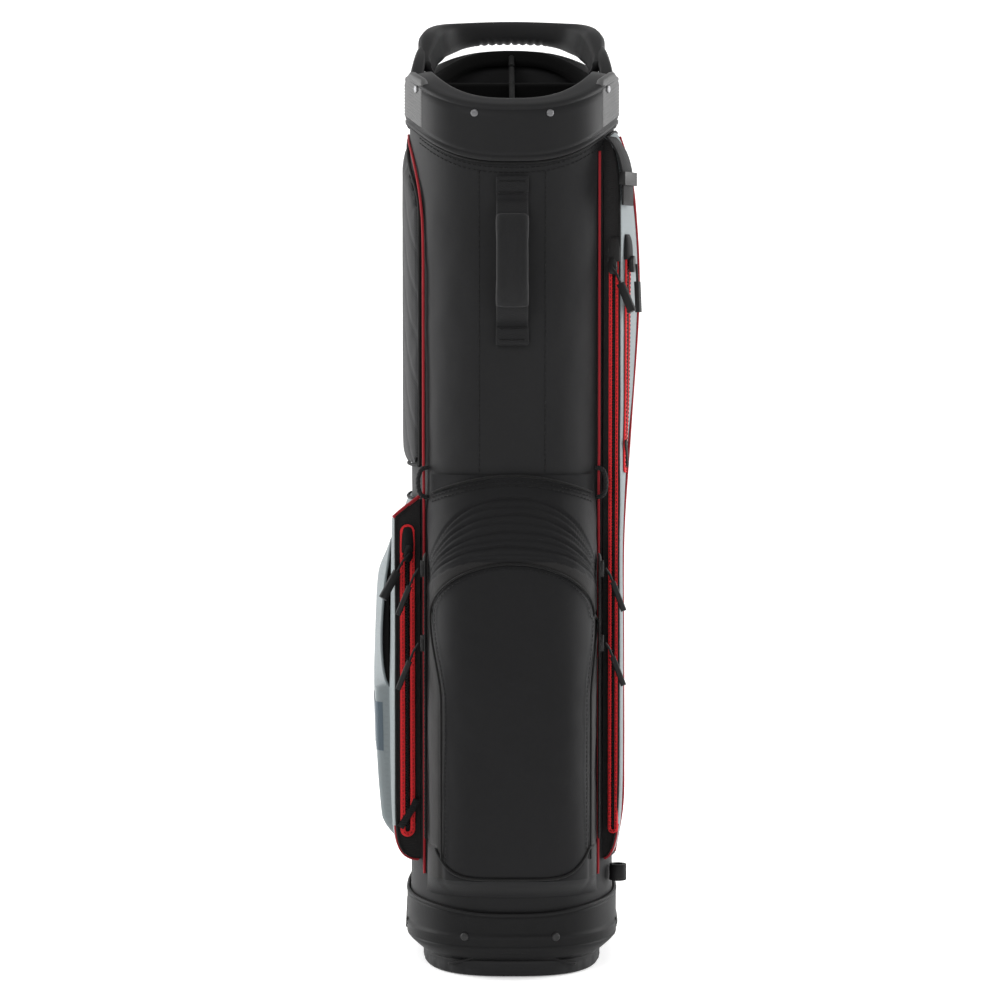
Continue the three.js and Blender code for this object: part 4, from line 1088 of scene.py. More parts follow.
def boxRings(route, normals, width, thick, sides=24):
    # plump oval sections along a route, drawn in at both ends
    rings = []
    count = len(route)
    for index, point in enumerate(route):
        before = route[max(0, index - 1)]
        after = route[min(count - 1, index + 1)]
        along = (after - before).normalized()
        across = along.cross(normals[index]).normalized()
        out = across.cross(along)
        share = index / (count - 1)
        end = (1 - abs(2 * share - 1) ** 16) ** 0.5
        end = max(0.25, end)
        ring = []
        for step in range(sides):
            turn = 2 * math.pi * step / sides
            u = bend(math.cos(turn), 0.55) * width / 2 * mix(0.9, 1, end)
            v = bend(math.sin(turn), 0.8) * thick / 2 * end
            ring.append(point + across * u + out * v)
        rings.append(ring)
    return rings


def sleeveShape(place):
    # two shallow lengthwise channels on the sleeve's outer face
    depth = grabLift - place.y
    channel = 0.9 * math.exp(-(((abs(place.x) - 6.5) / 1.6) ** 2)) if depth > 0 else 0
    return Vector((place.x, place.y + channel, place.z))


sleeveRoute = smoothRoute(grabPoints[3:7], 40)
sleeveNormals = routeNormals(sleeveRoute, Vector((0, -1, 0)))
softPad(
    "grab_sleeve",
    boxRings(sleeveRoute, sleeveNormals, grab["sleeveWidth"] - 2.5, grab["sleeveThick"] - 1.5),
    {"voxel": 2.4, "pressure": 3.0, "frames": 14, "cap": 2.0, "fill": 0.7, "shape": sleeveShape},
    finishes["padding"],
    "padded_black",
    ["grab_handle_sleeve"],
)
print("grab handle made")


# skins of the pockets: a grid of points
def grid(shape, at, across, up, wearOf=None, acrossShares=None, upShares=None):
    acrossShares = acrossShares or [column / across for column in range(across + 1)]
    upShares = upShares or [row / up for row in range(up + 1)]
    first = len(shape.points)
    wide = len(acrossShares)
    for v in upShares:
        for u in acrossShares:
            shape.points.append(Vector(at(u, v)))
    for row in range(len(upShares) - 1):
        for column in range(wide - 1):
            start = first + row * wide + column
            shape.faces.append((start, start + 1, start + wide + 1, start + wide))
            u = (acrossShares[column] + acrossShares[column + 1]) / 2
            v = (upShares[row] + upShares[row + 1]) / 2
            shape.wearOf.append(wearOf(u, v) if wearOf else 0)


def crowded(count):
    # shares that crowd towards both ends, where a sewn edge turns
    return [0.5 - 0.5 * math.cos(math.pi * step / count) for step in range(count + 1)]


def fullness(v, power, root):
    return max(0, 1 - abs(2 * v - 1) ** power) ** root


def shareOf(value, low, high):
    return min(1, max(0, (value - low) / (high - low)))


# one zip: two tapes and a coil of teeth
tapeProfile = [(-1, -0.5), (-1, 0.6), (-0.86, 1), (-0.3, 1.15), (0.3, 1.15), (0.86, 1), (1, 0.6), (1, -0.5)]
zipLook = {"gap": 5.4, "tape": 4.6, "tapeThick": 0.9, "pitch": 2.5, "slimGap": 3.4, "slimTape": 3.3}


def zipRun(name, place, top, bottom, tapeFinish, rounded=False, slim=False):
    # place(u, z, lift) gives a point beside the zip's middle line
    teeth = Shape()
    count = int((top - bottom) / zipLook["pitch"])
    for index in range(count):
        z = top - (index + 0.5) * zipLook["pitch"]
        for side in (-1, 1):
            level = z + side * zipLook["pitch"] / 4
            line = []
            for u, lift in ((2.0, 0.2), (1.5, 1.0), (0.2, 1.25), (-0.35, 0.6)):
                line.append(place(side * u, level, lift))
            teeth.rings(tubeRings(line, 0.62, 6))
    teeth.make(name + "_teeth", [finishes["zip"]], slot="zip_metal")
    tape = Shape()
    inner = zipLook["slimGap" if slim else "gap"] / 2
    tapeWidth = zipLook["slimTape" if slim else "tape"]
    outer = inner + tapeWidth
    middle = (inner + outer) / 2
    levels = range(int(bottom), int(top) + 1, 6)
    path = [(-1, z) for z in levels]
    turns = [math.pi * step / 12 for step in range(1, 12)]
    path += [(-math.cos(turn), top + math.sin(turn) * (inner + outer) / 2) for turn in turns]
    path += [(1, z) for z in reversed(levels)]
    if rounded:
        path += [(math.cos(turn), bottom - math.sin(turn) * (inner + outer) / 2) for turn in turns]
    route = []
    normals = []
    for u, z in path:
        spot = place(u * middle, z, 0.7)
        route.append(spot)
        normals.append((place(u * middle, z, 2.7) - spot).normalized())
    count = len(route)
    rings = []
    for index in range(count):
        before = route[index - 1] if index or rounded else route[0]
        after = route[(index + 1) % count] if index + 1 < count or rounded else route[-1]
        along = (after - before).normalized()
        across = along.cross(normals[index]).normalized()
        ring = []
        for u, v in tapeProfile:
            ring.append(route[index] + across * u * tapeWidth / 2 + normals[index] * v * zipLook["tapeThick"])
        rings.append(ring)
    tape.rings(rings, caps=not rounded, loop=rounded)
    tape.make(name + "_tape", [tapeFinish], slot="webbing")
    seam = Shape()
    raised = [spot + normal * 1.0 for spot, normal in zip(route, normals)]
    stitchRow(seam, raised, normals, length=2.4, gap=1.4, radius=0.3)
    seam.make(name + "_stitches", [finishes["thread"]], slot="tube_fabric")


def zipHood(name, place, top, bottom, halfWidth, rise, finish):
    # the cloth garage over the top of a zip
    shape = Shape()
    rings = []
    for row in range(17):
        share = row / 16
        z = mix(bottom, top, share)
        full = (1 - max(0, share * 1.15 - 0.15) ** 2.4) ** 0.5 if share < 1 else 0.06
        ring = []
        for step in range(21):
            u = mix(-1, 1, step / 20)
            lift = rise * full * (1 - abs(u) ** 2.6) ** 0.6 + 0.6
            ring.append(place(u * halfWidth * mix(0.55, 1, full), z, lift))
        for step in range(21):
            u = mix(1, -1, step / 20)
            lift = max(0.1, rise * full * (1 - abs(u) ** 2.6) ** 0.6 - 0.6)
            ring.append(place(u * (halfWidth - 0.6) * mix(0.55, 1, full), z, lift))
        rings.append(ring)
    shape.rings(rings)
    shape.make(name, [finish], slot="pocket_black")


# ball pocket with the folding cloth above it
ball = {
    "seat": 74,
    "low": 95,
    "top": 383.4,
    "high": 459,
    "halfWidth": 77.6,
    "reach": 76,
    "curve": 3.2,
    "corner": 22,
    "archWidth": 74,
    "archRise": 48,
    "foldBase": 346,
    "foldWidth": 79,
    "foldCurve": 2.3,
    "folds": (438, 431.5, 424, 417.2, 409.3, 403, 396.7),
    "foldsFrom": 386,
    "zipAt": 78.6,
    "zipY": -101,
    "rootDegrees": 51,
}
ballRoot = onBag(ball["rootDegrees"], 0.4, 0).y


def ballAt(s, z, grow=0.0):
    angle = math.pi * s
    rounder = 2 / ball["curve"]
    across = bend(math.cos(angle), rounder)
    deep = math.sin(angle) ** rounder
    if z <= ball["top"]:
        v = (z - ball["low"]) / (ball["top"] - ball["low"])
        reach = ball["reach"] - 9 * abs(2 * v - 1) ** 2.5
        return Vector((-(ball["halfWidth"] + grow) * across, ballRoot - (reach + grow) * deep, z))
    v = ease((z - ball["top"]) / (ball["high"] - ball["top"]))
    start = Vector((-(ball["halfWidth"] - 0.4) * across, ballRoot - 67 * deep, z))
    turn = mix(ball["rootDegrees"], 44, (z - ball["top"]) / (ball["high"] - ball["top"]))
    end = onBag(mix(-turn, turn, s), 1.6, z)
    return start.lerp(end, v) + Vector((0, -grow, 0))


def ballSide(x, z):
    # where the front panel ends on each side, waisted under its shoulders
    low = ease((330 - z) / 75)
    return mix(74, 64, low) if x < 0 else mix(77, 71, low)


def ballArch(x):
    # top edge of the front panel
    share = min(1, abs(x) / ball["archWidth"])
    return ball["top"] - 2 - ball["archRise"] * (1 - (1 - share**2) ** 0.5)


def ballFoot(x):
    return ball["low"] + 2 + min(26, ball["corner"] * (abs(x) / 68) ** 6)


def ballPanelEdge(x, z):
    # above zero outside the front panel
    return max(abs(x) - ballSide(x, z), z - ballArch(x))


def foldLevel(x, z):
    # the height at the middle of the fold that passes through a spot
    share = min(0.999, abs(x) / ball["foldWidth"])
    arch = (1 - share ** ball["foldCurve"]) ** (1 / ball["foldCurve"])
    return ball["foldBase"] + (z - ball["foldBase"]) / max(0.12, arch)


def groove(distance, width, depth):
    return depth * math.exp(-((distance / width) ** 2))


def ballSkin(s, v):
    z = mix(ball["low"], ball["high"], v)
    spot = ballAt(s, z)
    near = math.sin(math.pi * min(1, max(0, v / 0.79)))
    dent = (crease(spot.x, spot.y, z * 0.5, 42, 1.8) - 0.9) * near if z < ball["top"] else 0.0
    dent += crease(spot.x + 50, spot.y, z, 17, 0.5) * near
    dent -= groove(ballPanelEdge(spot.x, z), 1.8, 1.4)
    corner = ballFoot(spot.x)
    dent -= groove(z - corner, 1.8, 1.5)
    level = foldLevel(spot.x, z)
    if z > ball["foldBase"] and level > ball["foldsFrom"]:
        wave = 0.9 * noise.noise(Vector((spot.x / 23, level / 9, 0.3)))
        for index, fold in enumerate(ball["folds"]):
            dent -= groove(level - fold - wave, 1.5, 1.7 if index % 2 else 2.4)
        for line in (390.5, 386.5):
            dent -= groove(level - line, 0.8, 0.9)
        dent += crease(spot.x, spot.y, z, 18, 0.8) - 0.3
    normal = Vector((spot.x / 77, (spot.y - ballRoot) / 76, 0))
    normal = normal.normalized() if normal.length > 0.1 else Vector((0, -1, 0))
    return spot + normal * min(0.6, dent)


def ballWear(s, v):
    z = mix(ball["low"], ball["high"], v)
    x = ballAt(s, z).x
    if z > ball["top"] or foldLevel(x, z) > ball["foldsFrom"]:
        return 0
    return 1 if ballPanelEdge(x, z) > 0 else 0


ballShape = Shape()
ballUp = [row / 330 for row in range(331)]
grid(ballShape, ballSkin, 0, 0, ballWear, acrossShares=crowded(110), upShares=ballUp)


def ballUnder(s, v):
    # the bottom turns in under the pocket and down to the boot
    rim = ballSkin(s, 0)
    seat = onBag(mix(-50, 50, s), 0.8, ball["seat"])
    spot = rim.lerp(seat, v)
    spot.z = mix(ball["low"], ball["seat"], v**0.7)
    spot.y += 3 * math.sin(math.pi * v)
    return spot if v < 1 else seat


grid(ballShape, ballUnder, 0, 0, None, acrossShares=crowded(60), upShares=[row / 12 for row in range(13)])
ballShape.make(
    "ball_pocket_cloth",
    [finishes["pocket"], finishes["gusset"]],
    slot="pocket_black",
    standsFor=["ball_pocket", "ball_pocket_bellows"],
)


def ballFollow(lift, heightAt, fromX=-74, toX=74, steps=120):
    # a line across the front face at a height that depends on x
    route = []
    for step in range(steps + 1):
        x = mix(fromX, toX, step / steps)
        z = heightAt(x)
        half = ball["halfWidth"]
        angle = math.acos(max(-1, min(1, math.copysign(min(1, abs(x) / half) ** (ball["curve"] / 2), -x))))
        spot = ballAt(angle / math.pi, z)
        out = Vector((spot.x / 300, -1, 0)).normalized()
        route.append(spot + out * lift)
    return route


def ballOutline(inset, lift):
    # up one side of the front panel, over its arch and down the other
    route = []
    for z in range(112, 330, 6):
        route.append(ballFollow(lift, lambda _: z, inset - ballSide(-1, z), 0, 1)[0])
    for step in range(61):
        turn = math.pi * step / 60
        x = -(ball["archWidth"] - inset) * math.cos(turn)
        z = ball["top"] - 2 - ball["archRise"] + (ball["archRise"] - inset) * math.sin(turn)
        route.append(ballFollow(lift, lambda _: z, x, 0, 1)[0])
    for z in range(328, 111, -6):
        route.append(ballFollow(lift, lambda _: z, ballSide(1, z) - inset, 0, 1)[0])
    return smoothRoute(route, 400)


pipe("ball_panel_piping", ballOutline(0, 0.2), 1.1, finishes["blackPiping"], slot="pocket_black")
ballLowLine = ballFollow(0.2, ballFoot, -69.5, 74)
pipe("ball_bottom_piping", ballLowLine, 1.3, finishes["blackPiping"], slot="pocket_black")
ballSeams = Shape()
stitchRow(ballSeams, ballOutline(4, 0.35), [Vector((0, -1, 0))], length=2.6, gap=1.6, radius=0.32)


def ballSeamRoute(drop):
    # the arched seam where the folding cloth meets the tube
    route = []
    for step in range(101):
        share = mix(0.04, 0.96, step / 100)
        x = ballAt(share, ball["high"]).x
        spot = ballAt(share, ball["high"] - drop - 15 * (x / 68) ** 2)
        route.append(spot + Vector((0, -0.6, 0)))
    return route


for drop in (5, 9):
    stitchRow(ballSeams, ballSeamRoute(drop), [Vector((0, -1, 0))], length=2.6, gap=1.5, radius=0.34)
ballSeams.make("ball_pocket_stitches", [finishes["thread"]], slot="pocket_black")
pipe("bellows_top_binding", ballSeamRoute(0.6), 1.3, finishes["blackPiping"], slot="pocket_black")


def ballZipPlace(side):
    def place(u, z, lift):
        return Vector((side * (ball["zipAt"] - 0.6 + lift), ball["zipY"] - u, z))

    return place


for sideName, side in (("left", -1), ("right", 1)):
    place = ballZipPlace(side)
    zipRun("ball_zip_" + sideName, place, 380, 128, finishes["blackPiping"])
    zipHood("ball_zip_hood_" + sideName, place, 388, 381, 6, 2.5, finishes["gusset"])
print("ball pocket made")

# pocket on the left side, with its tall zip
left = {
    "low": 102,
    "high": 435,
    "front": -58,
    "back": -124,
    "zipTop": 412,
    "zipBottom": 131,
    "zipAt": 13.5,
    "corner": 3.5,
    "turn": (14, 16),
}


# columns of a side pocket's panel, closer together near its front corner
panelShares = [0.004 + 0.996 * (step / 70) ** 1.3 for step in range(71)]


def pocketDepth(front, middle, s):
    # a pocket's depth from its front edge, over its belly, to its flat back edge
    depth = mix(front, middle, ease(s / 0.4)) if s < 0.4 else mix(middle, 3, ease((s - 0.4) / 0.6))
    return 0.4 + max(2, depth)


def closeEnds(shape, column, across):
    # draws the upper and lower ends of a side pocket in towards the tube
    for v in (0, 1):

        def end(u, w):
            start = column(u, v)
            seat = Vector((start.x * 0.955, start.y * 0.955, start.z))
            return start.lerp(seat, w)

        grid(shape, end, 0, 2, None, acrossShares=across)


def leftDepth(s, v):
    z = mix(left["low"], left["high"], v)
    front = min(26 * fullness(v, 14, 0.5) if v < 0.5 else 26, max(2, (437 - z) * 1.4))
    return pocketDepth(front, 19.5 * fullness(v, 2.6, 0.7), s)


def cornerTurn(v, power, reach):
    # draws a pocket's back edge in towards its upper and lower corners
    return reach * (1 - max(0, 1 - abs(2 * v - 1) ** power) ** 0.5)


def leftSpot(s, v, grow=0.0):
    degrees = mix(left["front"], left["back"] + cornerTurn(v, *left["turn"]), s)
    return onBag(degrees, leftDepth(s, v) + grow, mix(left["low"], left["high"], v))


def leftColumn(u, v):
    # u below 0 is the gusset that faces forward, above 0 the side panel
    z = mix(left["low"], left["high"], v)
    if u < 0:
        depth = leftDepth(0, v) * (1 + u)
        hollow = 0.8 * math.sin(math.pi * (1 + u)) + crease(depth, 3, z, 24, 0.6)
        degrees = left["front"] - 0.4
        spot = onBag(degrees, depth - left["corner"] * 0.3 * (1 + u) ** 8, z)
        forward = Vector((math.cos(math.radians(58)) * -0.2, -1, 0)).normalized()
        return spot - forward * hollow * 0.6
    s = u
    full = math.sin(math.pi * v) * math.sin(math.pi * min(1, s + 0.1))
    dent = (crease(s * 60, 8, z * 0.6, 33, 1.6) - 0.8) * full
    turn = -left["corner"] * 0.35 * max(0, 1 - s / 0.03) ** 2
    return leftSpot(s, v, min(0.3, dent) + turn)


leftShape = Shape()
leftAcross = [-1 + step / 16 for step in range(17)] + panelShares
leftUp = crowded(150)
grid(leftShape, leftColumn, 0, 0, lambda u, v: 1 if u < 0.001 else 0, acrossShares=leftAcross, upShares=leftUp)


def leftHem(u, v):
    # closes the back edge down onto the tube
    z = mix(left["low"], left["high"], v)
    return onBag(left["back"] + cornerTurn(v, *left["turn"]), mix(leftDepth(1, v), -0.6, u), z)


grid(leftShape, leftHem, 3, 60)
closeEnds(leftShape, leftColumn, leftAcross)
leftFinishes = [finishes["silver"], finishes["gusset"]]
leftShape.make("left_pocket_cloth", leftFinishes, slot="pocket_silver", standsFor=["left_pocket"])


def pocketOutline(column):
    # over the top of a pocket, down its back edge and along the bottom
    route = [column(u, 1) for u in (0.05, 0.2, 0.4, 0.6, 0.8, 0.95)]
    route += [column(1, 0.5 + 0.5 * math.cos(math.pi * step / 60)) for step in range(1, 60)]
    route += [column(u, 0) for u in (0.95, 0.8, 0.6, 0.4, 0.2, 0.05)]
    return route


pipe("left_pocket_binding", pocketOutline(leftColumn), 1.3, finishes["blackPiping"], slot="pocket_black")
cornerRoute = [leftColumn(0.0005, step / 150) + Vector((0.3, -0.5, 0)) for step in range(3, 148)]
pipe("left_corner_piping", cornerRoute, 1.2, finishes["blackPiping"], slot="pocket_black")
redTop = [(0, 438), (9, 431.8), (18, 425.6), (26.6, 419)]
redTopRoute = smoothRoute([onBag(left["front"] - 0.5, u, z) for u, z in redTop], 30)
pipe("left_top_piping", redTopRoute, 1.7, finishes["redPiping"], slot="pocket_silver")
redLowRoute = []
for step in range(41):
    v = 0.1 * (step / 40) ** 2
    z = mix(left["low"], left["high"], v) - 0.6
    redLowRoute.append(onBag(left["front"] - 0.4, leftDepth(0, v) - 0.2, z))
pipe("left_bottom_piping", redLowRoute, 1.0, finishes["redPiping"], slot="pocket_silver")


def leftFace(u, z, lift):
    # a place on the forward gusset
    spot = onBag(left["front"], left["zipAt"] - u, z)
    return spot + Vector((0.33, -0.94, 0)) * (lift + 0.1)


zipRun("left_zip", leftFace, left["zipTop"] - 7, left["zipBottom"], finishes["redTape"], rounded=True)
zipHood("left_zip_hood", leftFace, 411, 387, 6.5, 3.6, finishes["pocket"])
tabRoute = smoothRoute([leftFace(u, z, 2.2) for u, z in ((8.5, 158), (4, 149), (-3, 140), (-8, 133))], 14)
tabNormals = [Vector((0.33, -0.94, 0))] * 15
strap("left_zip_tab", tabRoute, tabNormals, 6.5, 1.8, finishes["webbing"], slot="webbing")

# slash pouch on the left pocket
pouch = {
    "front": 0.16,
    "back": 0.9,
    "low": 0.05,
    "high": 0.9,
    "depth": 15.0,
    "mouth": 0.505,
    "mouthTop": 0.985,
    "slot": 8.0,
}


def pouchLift(s, h):
    return pouch["depth"] * mix(0.75, 1, math.sin(math.pi * s) ** 0.5 * fullness(h, 4, 1))


def pouchSpot(s, h, lift):
    return leftSpot(mix(pouch["front"], pouch["back"], s), mix(pouch["low"], pouch["high"], h), lift)


def mouthLift(h):
    # the slot is widest low down and closes slowly towards the top
    share = shareOf(h, pouch["mouth"], pouch["mouthTop"])
    return pouch["slot"] * (math.sin(math.pi * share**0.62)) ** 0.8 if 0 < share < 1 else 0.0


def pouchSkin(inner):
    def at(s, h):
        rounded = ease((1 - s) / 0.06) * ease(h / 0.08) * ease((1 - h) / 0.14)
        full = 0.2 + (pouchLift(s, h) - 0.2) * rounded**0.5
        edge = max(0.2, mouthLift(h))
        lift = mix(edge, full, ease(s / mix(0.06, 0.3, min(1, edge / 4))) ** 0.7)
        dent = (crease(s * 50, 4, h * 170, 31, 1.3) - 0.7) * rounded
        return pouchSpot(s, h, lift + min(0.2, dent) - (2.0 if inner else 0) * rounded)

    return at


pouchShape = Shape()
pouchAcross = [0, 0.006, 0.014, 0.025, 0.04] + [0.06 + 0.94 * step / 60 for step in range(61)]
pouchUp = crowded(120)
grid(pouchShape, pouchSkin(False), 0, 0, None, acrossShares=pouchAcross, upShares=pouchUp)
pouchShape.make("left_pouch_cloth", [finishes["silver"]], slot="pocket_silver", standsFor=["left_pouch"])
pouchInside = Shape()
grid(pouchInside, pouchSkin(True), 0, 0, None, acrossShares=pouchAcross, upShares=pouchUp)
pouchInside.make("left_pouch_lining", [finishes["lining"]], slot="pocket_silver")
mouthLevels = [mix(pouch["mouth"], pouch["mouthTop"], step / 80) for step in range(81)]
mouthRoute = [pouchSkin(False)(0.004, h) for h in mouthLevels]
pouchSeams = Shape()
for inset in (0.03, 0.055):
    for degrees, at in (
        (-112, lambda share: pouchSkin(False)(1 - inset - 0.02, mix(0.06, 0.94, share))),
        (-95, lambda share: pouchSkin(False)(mix(0.08, 0.94, share), inset + 0.01)),
    ):
        route = [at(step / 60) + outwards(degrees) * 0.3 for step in range(61)]
        stitchRow(pouchSeams, route, [outwards(degrees)], length=2.8, gap=1.6, radius=0.32)
pouchSeams.make("left_pouch_stitches", [finishes["slate"]], slot="pocket_silver")
pipe("pouch_mouth_binding", mouthRoute, 1.3, finishes["silver"], slot="pocket_silver")
slotShadeShape = Shape()


def slotShadeSkin(u, v):
    # a near-black sheet across the opening between the pouch's edge and the pocket behind it: painted shade of
    # the slot
    h = mix(pouch["mouth"] + 0.01, 0.975, v)
    outer = pouchSkin(False)(0.004, h)
    base = pouchSpot(-0.01, h, 0.6)
    bulge = -1.2 * math.sin(math.pi * u)
    return base.lerp(outer, u) + Vector((0.3, -0.9, 0)) * bulge


grid(slotShadeShape, slotShadeSkin, 6, 60)
# the near-black lining finish here is painted shade of the pouch's opening
slotShadeShape.make("pouch_mouth_painted_shade", [finishes["lining"]], slot="pocket_black")
slateShape = Shape()


def slateSkin(u, v):
    # a plain slanting stripe across the pouch
    h = mix(0.29, 0.45, v) + 0.05 * u
    return pouchSkin(False)(mix(0.03, 0.97, u), h) + outwards(mix(-70, -115, u)) * 0.5


grid(slateShape, slateSkin, 50, 14)
slateShape.make("pouch_stripe", [finishes["slate"]], slot="pocket_silver")
print("left pocket made")

# long pocket on the right side
right = {
    "low": 103,
    "high": 772,
    "front": 57,
    "back": 120,
    "zipAt": 11,
    "zipTop": 664,
    "zipBottom": 132,
    "turn": (30, 16),
}


def rightDepth(s, v):
    z = mix(right["low"], right["high"], v)
    middle = (7 + 16 * math.exp(-(((z - 620) / 170) ** 2))) * fullness(v, 10, 0.5)
    return pocketDepth(17.2 * fullness(v, 14, 0.5), middle, s)


def rightHigh(degrees):
    return min(776 + 4 * math.sin(math.radians(degrees)) - 8, seamAt(degrees) - 5)


def rightSpot(s, v, grow=0.0):
    degrees = mix(right["front"], right["back"] - cornerTurn(v, *right["turn"]), s)
    return onBag(degrees, rightDepth(s, v) + grow, mix(right["low"], rightHigh(degrees), v))


def rightColumn(u, v):
    z = mix(right["low"], right["high"], v)
    if u < 0:
        depth = rightDepth(0, v) * (1 + u)
        hollow = 0.8 * math.sin(math.pi * (1 + u)) + crease(depth, 9, z, 24, 0.7)
        spot = onBag(right["front"] + 0.4, depth, mix(right["low"], rightHigh(right["front"]), v))
        return spot - Vector((0.2, -1, 0)).normalized() * hollow * 0.6
    full = math.sin(math.pi * v) * math.sin(math.pi * min(1, u + 0.1))
    dent = (crease(u * 60, 18, z * 0.6, 38, 1.9) - 0.9) * full
    return rightSpot(u, v, min(0.3, dent) - 1.2 * max(0, 1 - u / 0.03) ** 2)


def rightWear(u, v):
    # black front gusset, silver panel, dark mesh towards the back
    if u < 0.001:
        return 1
    return 2 if u > 0.8 else 0


rightShape = Shape()
rightAcross = [-1 + step / 14 for step in range(15)] + panelShares
rightUp = crowded(240)
grid(rightShape, rightColumn, 0, 0, rightWear, acrossShares=rightAcross, upShares=rightUp)


def rightHem(u, v):
    z = mix(right["low"], rightHigh(right["back"]), v)
    return onBag(right["back"] - cornerTurn(v, *right["turn"]), mix(rightDepth(1, v), -0.6, u), z)


grid(rightShape, rightHem, 3, 80)
closeEnds(rightShape, rightColumn, rightAcross)
rightShape.make(
    "right_pocket_cloth",
    [finishes["silver"], finishes["gusset"], finishes["panelMesh"]],
    slot="pocket_silver",
    standsFor=["right_pocket"],
)
pipe("right_pocket_binding", pocketOutline(rightColumn), 1.3, finishes["blackPiping"], slot="pocket_black")
rightSeams = Shape()
for share in (0.785, 0.815):
    route = [rightSpot(share, step / 120, 0.5) for step in range(2, 119)]
    stitchRow(rightSeams, route, [outwards(106)], length=2.8, gap=1.6, radius=0.34)
rightSeams.make("right_pocket_stitches", [finishes["thread"]], slot="pocket_black")
rightCorner = [rightColumn(0.0005, step / 200) + Vector((-0.2, -0.5, 0)) for step in range(3, 198)]
pipe("right_corner_piping", rightCorner, 1.2, finishes["blackPiping"], slot="pocket_black")


def rightFace(u, z, lift):
    spot = onBag(right["front"], right["zipAt"] + u, z)
    return spot + Vector((-0.33, -0.94, 0)) * (lift + 0.1)


zipRun(
    "right_long_zip",
    rightFace,
    right["zipTop"] - 8,
    right["zipBottom"],
    finishes["redTape"],
    rounded=True,
    slim=True,
)
zipHood("right_long_zip_hood", rightFace, 674, 652, 6.5, 3.6, finishes["gusset"])


def rightPanel(u, z, lift):
    # a place on the side panel, beside the second zip
    degrees = 64 + u * 0.55
    s = (degrees - right["front"]) / (right["back"] - right["front"])
    v = (z - right["low"]) / (rightHigh(degrees) - right["low"])
    return rightColumn(s, v) + outwards(degrees) * (lift + 0.2)


zipRun("right_panel_zip", rightPanel, 664, 464, finishes["redTape"], rounded=True, slim=True)
zipHood("right_panel_zip_hood", rightPanel, 677, 654, 7, 3.8, finishes["pocket"])
tabRoute = smoothRoute([rightPanel(u, z, 2.4) for u, z in ((-5, 489), (-2, 481), (2, 472), (5, 465))], 12)
strap("right_zip_tab", tabRoute, [outwards(64)] * 13, 5, 1.6, finishes["webbing"], slot="webbing")
redPath = [(22, 767), (26, 740), (30, 700), (31, 620), (28, 500)]
redPath += [(22, 400), (16, 300), (12, 200), (10, 150), (9, 107)]
redSide = smoothRoute([rightPanel(u, z, 0.6) for u, z in redPath], 120)
pipe("right_side_piping", redSide, 1.4, finishes["redPiping"], slot="pocket_silver")
redFoot = []
for step in range(41):
    v = 0.05 * (step / 40) ** 2
    z = mix(right["low"], right["high"], v) - 0.6
    redFoot.append(onBag(right["front"] + 0.4, rightDepth(0, v) - 0.2, z))
pipe("right_bottom_piping", redFoot, 1.2, finishes["redPiping"], slot="pocket_silver")
print("right pocket made")


# main red pipings down both sides of the front
pipings = {"left": -52.4, "right": 50.6, "radius": 1.25}
leftPath = [(-90, 771), (-78, 762), (-66, 744), (-57.5, 718), (-53.4, 690)]
leftRoute = [onBag(degrees, 1.2, z) for degrees, z in leftPath]
leftRoute += [onBag(pipings["left"], 1.2 if z > 450 else 0.8, z) for z in range(660, 69, -30)]
rightRoute = [onBag(pipings["right"], 1.2, z) for z in (752, 735, 700)]
rightRoute += [onBag(pipings["right"], 1.2 if z > 450 else 0.8, z) for z in range(660, 69, -30)]
for sideName, route in (("left", leftRoute), ("right", rightRoute)):
    smooth = smoothRoute(route, 200)
    pipe(sideName + "_main_piping", smooth, pipings["radius"], finishes["redPiping"], slot="tube_fabric")

# quilted pad high on the left side
quilt = {
    "back": -120,
    "low": 466,
    "high": 767,
    "thick": 5.4,
    "lanes": 6.5,
    "lean": 0.62,
    "laneDepth": 1.3,
}


def quiltFront(z):
    return -56.5 - 36 * ease((z - 690) / 85) ** 1.5


def quiltSpot(u, v, lift):
    z = mix(quilt["low"], quilt["high"], v)
    degrees = mix(quiltFront(z), quilt["back"], u)
    return onBag(degrees, lift, min(z, seamAt(degrees) - 3))


quiltRings = []
for row in crowded(60):
    ring = []
    for u in crowded(34):
        edge = (1 - abs(2 * u - 1) ** 10) ** 0.5 * (1 - abs(2 * row - 1) ** 14) ** 0.5
        ring.append(quiltSpot(u, row, mix(1.4, quilt["thick"] - 0.6, edge)))
    for u in reversed(crowded(34)):
        ring.append(quiltSpot(u, row, 0.3))
    quiltRings.append(ring)


def quiltShape(place):
    # sewn lanes that slant across the pad
    degrees = math.degrees(math.atan2(place.x / bag["halfWidth"], -place.y / bag["halfDepth"]))
    run = place.z * 0.16 + degrees * quilt["lean"]
    lane = abs((run / quilt["lanes"]) % 1 - 0.5) * 2
    groove = quilt["laneDepth"] * math.exp(-(((1 - lane) / 0.14) ** 2))
    out = outwards(degrees)
    seat = onBag(degrees, 0, place.z)
    lift = (place - seat).dot(out)
    if lift < 2.2:
        return place + out * max(0, 0.3 - lift)
    return place - out * groove


softPad(
    "side_quilt",
    quiltRings,
    {"voxel": 3.0, "pressure": 3.0, "frames": 14, "cap": 2.2, "fill": 0.5, "shape": quiltShape},
    finishes["quilt"],
    "mesh_grey",
    ["side_pad"],
)
quiltEdge = [quiltSpot(0, row / 60, 1.8) for row in range(61)]
pipe("quilt_front_binding", quiltEdge, 1.5, finishes["blackPiping"], slot="mesh_grey")
quiltFoot = [quiltSpot(step / 30, 0, 1.6) for step in range(31)]
pipe("quilt_bottom_binding", quiltFoot, 1.5, finishes["blackPiping"], slot="mesh_grey")

